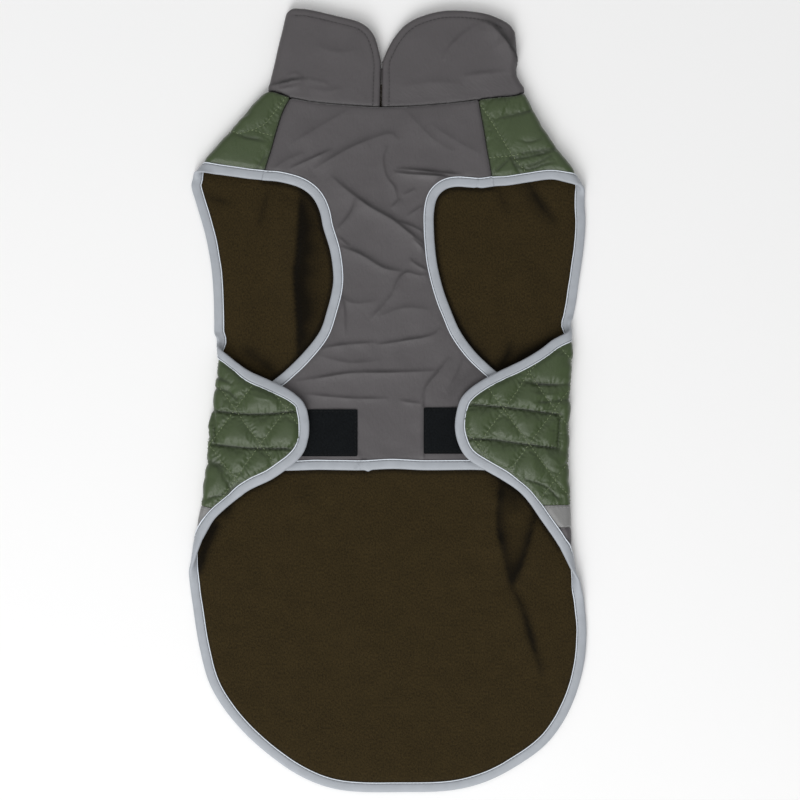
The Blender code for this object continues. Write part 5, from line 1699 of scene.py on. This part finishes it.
class COAT_OT_collar(bpy.types.Operator):
    """Makes the collar: nylon outside, plush inside, and the fuzz that shows at its edge"""

    bl_idname = "coat.collar"
    bl_label = "Collar"

    def execute(self, context):
        neck, free = collar_lines()
        loop = long_sided(np.vstack([neck[1:-1], free]))

        def rounded(points):
            gap = np.clip(gaps_to(points, free) / COLLAR_ROUNDING, 0.0, 1.0)
            return COLLAR_EDGE + (1.0 - COLLAR_EDGE) * np.sqrt(1.0 - (1.0 - gap) ** 2)

        rows = []
        for row in COLLAR_CREASES:
            line = soft(row[3], COLLAR_PITCH)
            fold = COLLAR["left" if line[0][0] < 0.0 else "right"]
            rows.append(fold.unfold(line))
        flat, faces = cut_out(loop, rows_of_spots(COLLAR_PITCH, loop), rows)
        relief = front_of_collar(flat, lambda plan: COLLAR_RELIEF * creased(plan, COLLAR_CREASES))
        relief += ripples(flat, COLLAR_RIPPLES)
        topstitch = around(gaps_to(flat, np.vstack(collar_topstitch())), TOPSTITCH_WIDTH)
        to_neck = gaps_to(flat, neck)
        # Painted shade in the collar's folds, beside the neck seam and along the topstitching's groove.
        shade = front_of_collar(flat, lambda plan: shades(plan, COLLAR_SHADES))
        shade += fading(to_neck, *SEAM_SHADE) + TOPSTITCH_SHADE * topstitch
        outer = (SEAM / 2 + COLLAR_WALL * rounded(flat) + relief * eased(gaps_to(flat, loop) / RIPPLE_REACH)
                 - TOPSTITCH_DEPTH * topstitch - rolled(to_neck))
        piece = cloth("collar_cloth", loop, (flat, faces), place_collar(flat, outer), hidden_spots(loop),
                      lambda points: place_collar(points, SEAM / 2), "grey nylon", ["collar_shell"],
                      np.minimum(shade, 1.0))
        sheet(loop)
        flat, faces = cut_out(loop, rows_of_spots(CLOTH_PITCH, loop))
        outer = SEAM / 2 + (PLUSH_WALL + ripples(flat, PLUSH_RIPPLES)) * rounded(flat)
        piece = cloth("collar_lining", loop, (flat, faces), place_collar(flat, -outer), hidden_spots(loop),
                      lambda points: place_collar(points, -SEAM / 2), "collar plush", ["collar_plush"])
        sheet(loop)
        self.fuzz(free, context.scene.coat_sizes.pile / MM)
        return {"FINISHED"}

    def fuzz(self, free, pile):
        """Strands of pile that stand out of the collar's free edge."""
        rng = np.random.default_rng(STRAND_SEED)
        line = even(free, STRAND_STEP)
        least, more, step, seed = STRAND_SHARES
        picked = rng.random(len(line)) < least + more * np.clip(wander(walked(line), step, seed), 0.0, 1.0)
        ways = -inward(line)[picked]
        line = line[picked]
        root = line - ways * rng.uniform(*STRAND_ROOTS, len(line))[:, None]
        start = place_collar(root, -rng.uniform(0.5, PLUSH_WALL, len(line)))
        reach = pile
        for shares in STRAND_SHORTER:
            reach = reach * rng.uniform(*shares, len(line))
        lean = rng.uniform(-STRAND_LEAN, STRAND_LEAN, len(line))
        side = np.column_stack([-ways[:, 1], ways[:, 0]])
        tip = root + (ways + side * lean[:, None]) * (reach + 1.0)[:, None]
        end = place_collar(tip, -rng.uniform(0.2, PLUSH_WALL, len(line)))
        corners = []
        faces = []
        for first, last, bend in zip(start, end, rng.normal(0.0, STRAND_BEND, (len(line), 3))):
            run = last - first
            across = unit(np.cross(run, (0.0, 0.0, 1.0) + bend)) * PILE_THICKNESS / 2
            up = unit(np.cross(across, run)) * PILE_THICKNESS / 2
            base = len(corners)
            for place, fat in ((first, 1.0), ((first + last) / 2 + bend, STRAND_MIDDLE)):
                corners += [place + across * fat, place - (across - 1.7 * up) * fat / 2,
                            place - (across + 1.7 * up) * fat / 2]
            corners.append(last)
            faces.append([base, base + 1, base + 2])
            for one, other in ((0, 1), (1, 2), (2, 0)):
                faces.append([base + one, base + 3 + one, base + 3 + other, base + other])
                faces.append([base + 3 + one, base + 6, base + 3 + other])
        finish_mesh("collar_fuzz", np.array(corners), faces, "collar plush")


def tape_section(start, width):
    """The binding's section, folded over the edge: its outside face, and then its inside face."""
    outside = [(start + inset * width, outer) for inset, outer in BINDING_SECTION]
    inside_face = [(inset, -outer) for inset, outer in outside[::-1][1:-1]]
    return outside + inside_face


class COAT_OT_binding(bpy.types.Operator):
    """Makes the silver binding round the coat and round the chest panel"""

    bl_idname = "coat.binding"
    bl_label = "Edge binding"

    def execute(self, context):
        width = context.scene.coat_sizes.binding / MM
        cut = coat_cut()
        sweep("coat_binding", cut.edge, cut.ways, tape_section(COAT_BINDING_START, width), place_coat,
              ["binding_armhole_left", "binding_armhole_right", "binding_wing_left_top",
               "binding_wing_left_side", "binding_wing_right_top", "binding_wing_right_side",
               "binding_hem"],
              (), COAT_BINDING_ENDS)
        edge = soft(CHEST_EDGE, EDGE_STEP / 2)
        edge[0] += CHEST_BINDING_SPARE * (edge[0] - edge[1])
        edge[-1] += CHEST_BINDING_SPARE * (edge[-1] - edge[-2])
        left, _, right = chest_seams()
        sweep("chest_binding", edge, edge_ways(edge, right, left, 2 * END_STEPS),
              tape_section(CHEST_BINDING_START, width), place_chest,
              ["binding_chest_left", "binding_chest_hem", "binding_chest_right"], CHEST_JOINS,
              CHEST_BINDING_ENDS)
        return {"FINISHED"}


def rounded_rectangle(box):
    """The closed outline of a tape with softened corners, clockwise."""
    left, right, low, high = box
    corners = []
    for x, y, turn in ((left, low, 180), (left, high, 90), (right, high, 0), (right, low, -90)):
        middle = (x + TAPE_CORNER * (1 if x == left else -1), y + TAPE_CORNER * (1 if y == low else -1))
        for step in range(CORNER_STEPS + 1):
            angle = math.radians(turn + 90 - 90 * step / CORNER_STEPS)
            corners.append((middle[0] + TAPE_CORNER * math.cos(angle),
                            middle[1] + TAPE_CORNER * math.sin(angle)))
    corners = np.array(corners)
    return even(np.vstack([corners, corners[:1]]), TAPE_PITCH)[:-1]


def tape_thickness(gap):
    """How thick a tape is at this distance from its edge."""
    return TAPE_WALL * (TAPE_EDGE + (1.0 - TAPE_EDGE) * eased(gap / TAPE_EDGE_REACH))


class COAT_OT_tapes(bpy.types.Operator):
    """Makes the hook tapes on the chest panel and the loop tapes inside the wings"""

    bl_idname = "coat.tapes"
    bl_label = "Hook and loop tapes"

    def execute(self, context):
        for name, box in HOOK_TAPES.items():
            outline = rounded_rectangle(box)
            flat, faces = cut_out(outline, rows_of_spots(TAPE_PITCH, outline))
            gap = gaps_to(flat, outline)
            base = CHEST_WALL / 2 + SEAM
            sewn = around(gap - TAPE_STITCH_INSET, TAPE_STITCH_WIDTH, TAPE_STITCH_DEPTH)
            placed = place_chest(flat, base + tape_thickness(gap) - sewn)
            piece = cloth(name + "_pile", outline, (flat, faces), placed, hidden_spots(outline, False),
                          lambda points, base=base: place_chest(points, base), "hook tape", [name])
            sheet(outline)
        for name, (fold, box) in LOOP_TAPES.items():
            plain = rounded_rectangle(box)
            outline = SIDES[fold].unfold(plain)
            flat, faces = cut_out(outline, rows_of_spots(LOOP_PITCH, outline))
            base = -SEAM / 2 - WALL - SEAM
            placed = place_coat(flat, base - tape_thickness(gaps_to(flat, outline)))
            piece = cloth(name + "_pile", outline, (flat, faces), placed, hidden_spots(outline, False),
                          lambda points, base=base: place_coat(points, base), "loop tape", [name])
            sheet(plain)
        return {"FINISHED"}


class COAT_OT_stitching(bpy.types.Operator):
    """Sews the quilting, the binding, the collar, the tapes and the reflective band"""

    bl_idname = "coat.stitching"
    bl_label = "Stitching"

    def execute(self, context):
        sizes = context.scene.coat_sizes
        length, thread = sizes.stitch / MM, sizes.thread / MM
        groove = GROOVE_SHARE * sizes.binding / MM
        coat, chest = coat_cut(), chest_cut()
        rows = [on_face(coat.edge + coat.ways * (COAT_BINDING_START + groove), place_coat, level)
                for level in (BINDING_STITCH_LEVEL, -BINDING_STITCH_LEVEL)]
        rows.append(on_face(chest.edge + chest.ways * (CHEST_BINDING_START + groove), place_chest,
                            BINDING_STITCH_LEVEL))
        sew("binding_stitches", rows, length, BINDING_STITCH_GAP, thread, "binding thread")

        green = green_part(coat.outline)
        quilting, tape_seams, _ = shell_rows(green)
        rows = []
        for line in quilting:
            valley = -VALLEY_DEPTH * eased(gaps_to(line, green) / RIM_REACH)
            depth = np.where(past_fold(line) < VALLEY_END, valley, QUILT_STITCH_LEVEL)
            rows.append(on_face(line, place_coat, shell_face(line, coat) + depth))
        sew("quilting_stitches", rows, length * QUILT_STITCH_SHARE, QUILT_STITCH_GAP,
            thread * QUILT_THREAD_SHARE, "green thread", QUILT_SLANT)
        rows = [on_face(line, place_coat, shell_face(line, coat) - SEAM_DEPTH + LOOP_STITCH_LEVEL)
                for line in tape_seams]
        sew("wing_seam_stitches", rows, length, BINDING_STITCH_GAP, thread * LOOP_THREAD_SHARE,
            "dark green thread")
        across = np.arange(-BAND_SPAN, BAND_SPAN, EDGE_STEP)
        rows = []
        for level in (REFLECTIVE_TOP - BAND_STITCH_INSET, REFLECTIVE_BOTTOM + BAND_STITCH_INSET):
            line = np.column_stack([across, np.full(len(across), level)])
            line = line[inside(line, coat.outline)]
            line = line[gaps_to(line, coat.outline) > BAND_STITCH_CLEAR]
            rows.append(on_face(line, place_coat, shell_face(line, coat)))
        sew("band_stitches", rows, length, STITCH_GAP, thread, "pale thread")

        rows = [on_face(line, place_collar, SEAM / 2 + COLLAR_WALL - COLLAR_STITCH_SINK)
                for line in collar_topstitch()]
        sew("collar_stitches", rows, length, STITCH_GAP, thread, "dark thread")
        rows = []
        for box in HOOK_TAPES.values():
            line = rounded_rectangle((box[0] + TAPE_STITCH_INSET, box[1] - TAPE_STITCH_INSET,
                                      box[2] + TAPE_STITCH_INSET, box[3] - TAPE_STITCH_INSET))
            rows.append(on_face(line, place_chest, CHEST_WALL / 2 + SEAM + TAPE_WALL - TAPE_STITCH_DEPTH))
        sew("tape_stitches", rows, length, STITCH_GAP, thread, "black thread")
        return {"FINISHED"}


# The stage's places and sizes are in metres, and each lamp's last number is its share of the main light.

LAMPS = [
    ("low_light", (-0.85, -2.70, 2.15), 1.8, 0.80),
    ("sheen_light", (-0.28, -1.25, 2.40), 0.8, 0.11),
    ("top_light", (0.5, 1.3, 1.9), 1.6, 0.05),
    ("side_light", (-1.5, 0.5, 1.6), 1.2, 0.03),
]
FLOOR_REACH = 3.0
FLOOR_DROP = 0.0004  # how far the floor lies under the coat
SENSOR = 36.0
VIEW_MIDDLE = 0.010
VIEW_WIDTH = 0.640  # what the picture spans at the level of the coat's face
VIEW_LEVEL = 0.008


class COAT_OT_stage(bpy.types.Operator):
    """Sets the floor, the studio light and the camera over the coat"""

    bl_idname = "coat.stage"
    bl_label = "Floor, light and camera"

    def execute(self, context):
        stage = context.scene.coat_stage
        mesh = bpy.data.meshes.new("floor")
        mesh.from_pydata([(x * FLOOR_REACH, y * FLOOR_REACH, -FLOOR_DROP)
                          for x, y in ((-1, -1), (1, -1), (1, 1), (-1, 1))], [], [(0, 1, 2, 3)])
        floor = bpy.data.objects.new("floor", mesh)
        context.scene.collection.objects.link(floor)
        made = Finish("floor", 0.8)
        grain = made.add("ShaderNodeTexNoise", {}, {"Scale": 3.0})
        made.colour(grain, shaded(stage.floor, 0.99), shaded(stage.floor, 1.01))
        mesh.materials.append(made.material)
        for name, place, size, share in LAMPS:
            lamp = bpy.data.lights.new(name, "AREA")
            lamp.energy = stage.light * share
            lamp.size = size
            holder = bpy.data.objects.new(name, lamp)
            holder.location = place
            holder.rotation_euler = (-Vector(place)).to_track_quat("-Z", "Y").to_euler()
            context.scene.collection.objects.link(holder)
        world = bpy.data.worlds.new("studio")
        world.use_nodes = True
        sky = world.node_tree.nodes["Background"].inputs
        sky["Color"].default_value = (1.0, 1.0, 1.0, 1.0)
        sky["Strength"].default_value = stage.sky
        context.scene.world = world
        context.scene.view_settings.view_transform = "Standard"
        camera = bpy.data.cameras.new("camera")
        camera.lens = stage.lens
        camera.sensor_width = SENSOR
        holder = bpy.data.objects.new("camera", camera)
        holder.location = (VIEW_MIDDLE, 0.0, VIEW_WIDTH * stage.lens / SENSOR + VIEW_LEVEL)
        context.scene.collection.objects.link(holder)
        context.scene.camera = holder
        return {"FINISHED"}


class COAT_PT_panel(bpy.types.Panel):
    """Lists the pieces of the coat"""

    bl_idname = "COAT_PT_panel"
    bl_label = "Dog winter coat"
    bl_space_type = "VIEW_3D"
    bl_region_type = "UI"
    bl_category = "Coat"

    def draw(self, context):
        for settings in (context.scene.coat_sizes, context.scene.coat_colours, context.scene.coat_stage):
            box = self.layout.box()
            for name in settings.__annotations__:
                box.prop(settings, name)
        for operator in OPERATORS:
            self.layout.operator(operator.bl_idname)


SETTINGS = {"coat_sizes": CoatSizes, "coat_colours": CoatColours, "coat_stage": CoatStage}
OPERATORS = [
    COAT_OT_shell, COAT_OT_lining, COAT_OT_chest, COAT_OT_collar, COAT_OT_binding, COAT_OT_tapes,
    COAT_OT_stitching, COAT_OT_stage,
]


def register():
    for kind in (*SETTINGS.values(), *OPERATORS, COAT_PT_panel):
        bpy.utils.register_class(kind)
    for name, kind in SETTINGS.items():
        setattr(bpy.types.Scene, name, PointerProperty(type=kind))


def unregister():
    for name in SETTINGS:
        delattr(bpy.types.Scene, name)
    for kind in (COAT_PT_panel, *reversed(OPERATORS), *SETTINGS.values()):
        bpy.utils.unregister_class(kind)


def main():
    """Makes the whole coat."""
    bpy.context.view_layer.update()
    register()
    bpy.ops.coat.shell()
    bpy.ops.coat.lining()
    bpy.ops.coat.chest()
    bpy.ops.coat.collar()
    bpy.ops.coat.binding()
    bpy.ops.coat.tapes()
    bpy.ops.coat.stitching()
    bpy.ops.coat.stage()


if __name__ == "__main__":
    main()
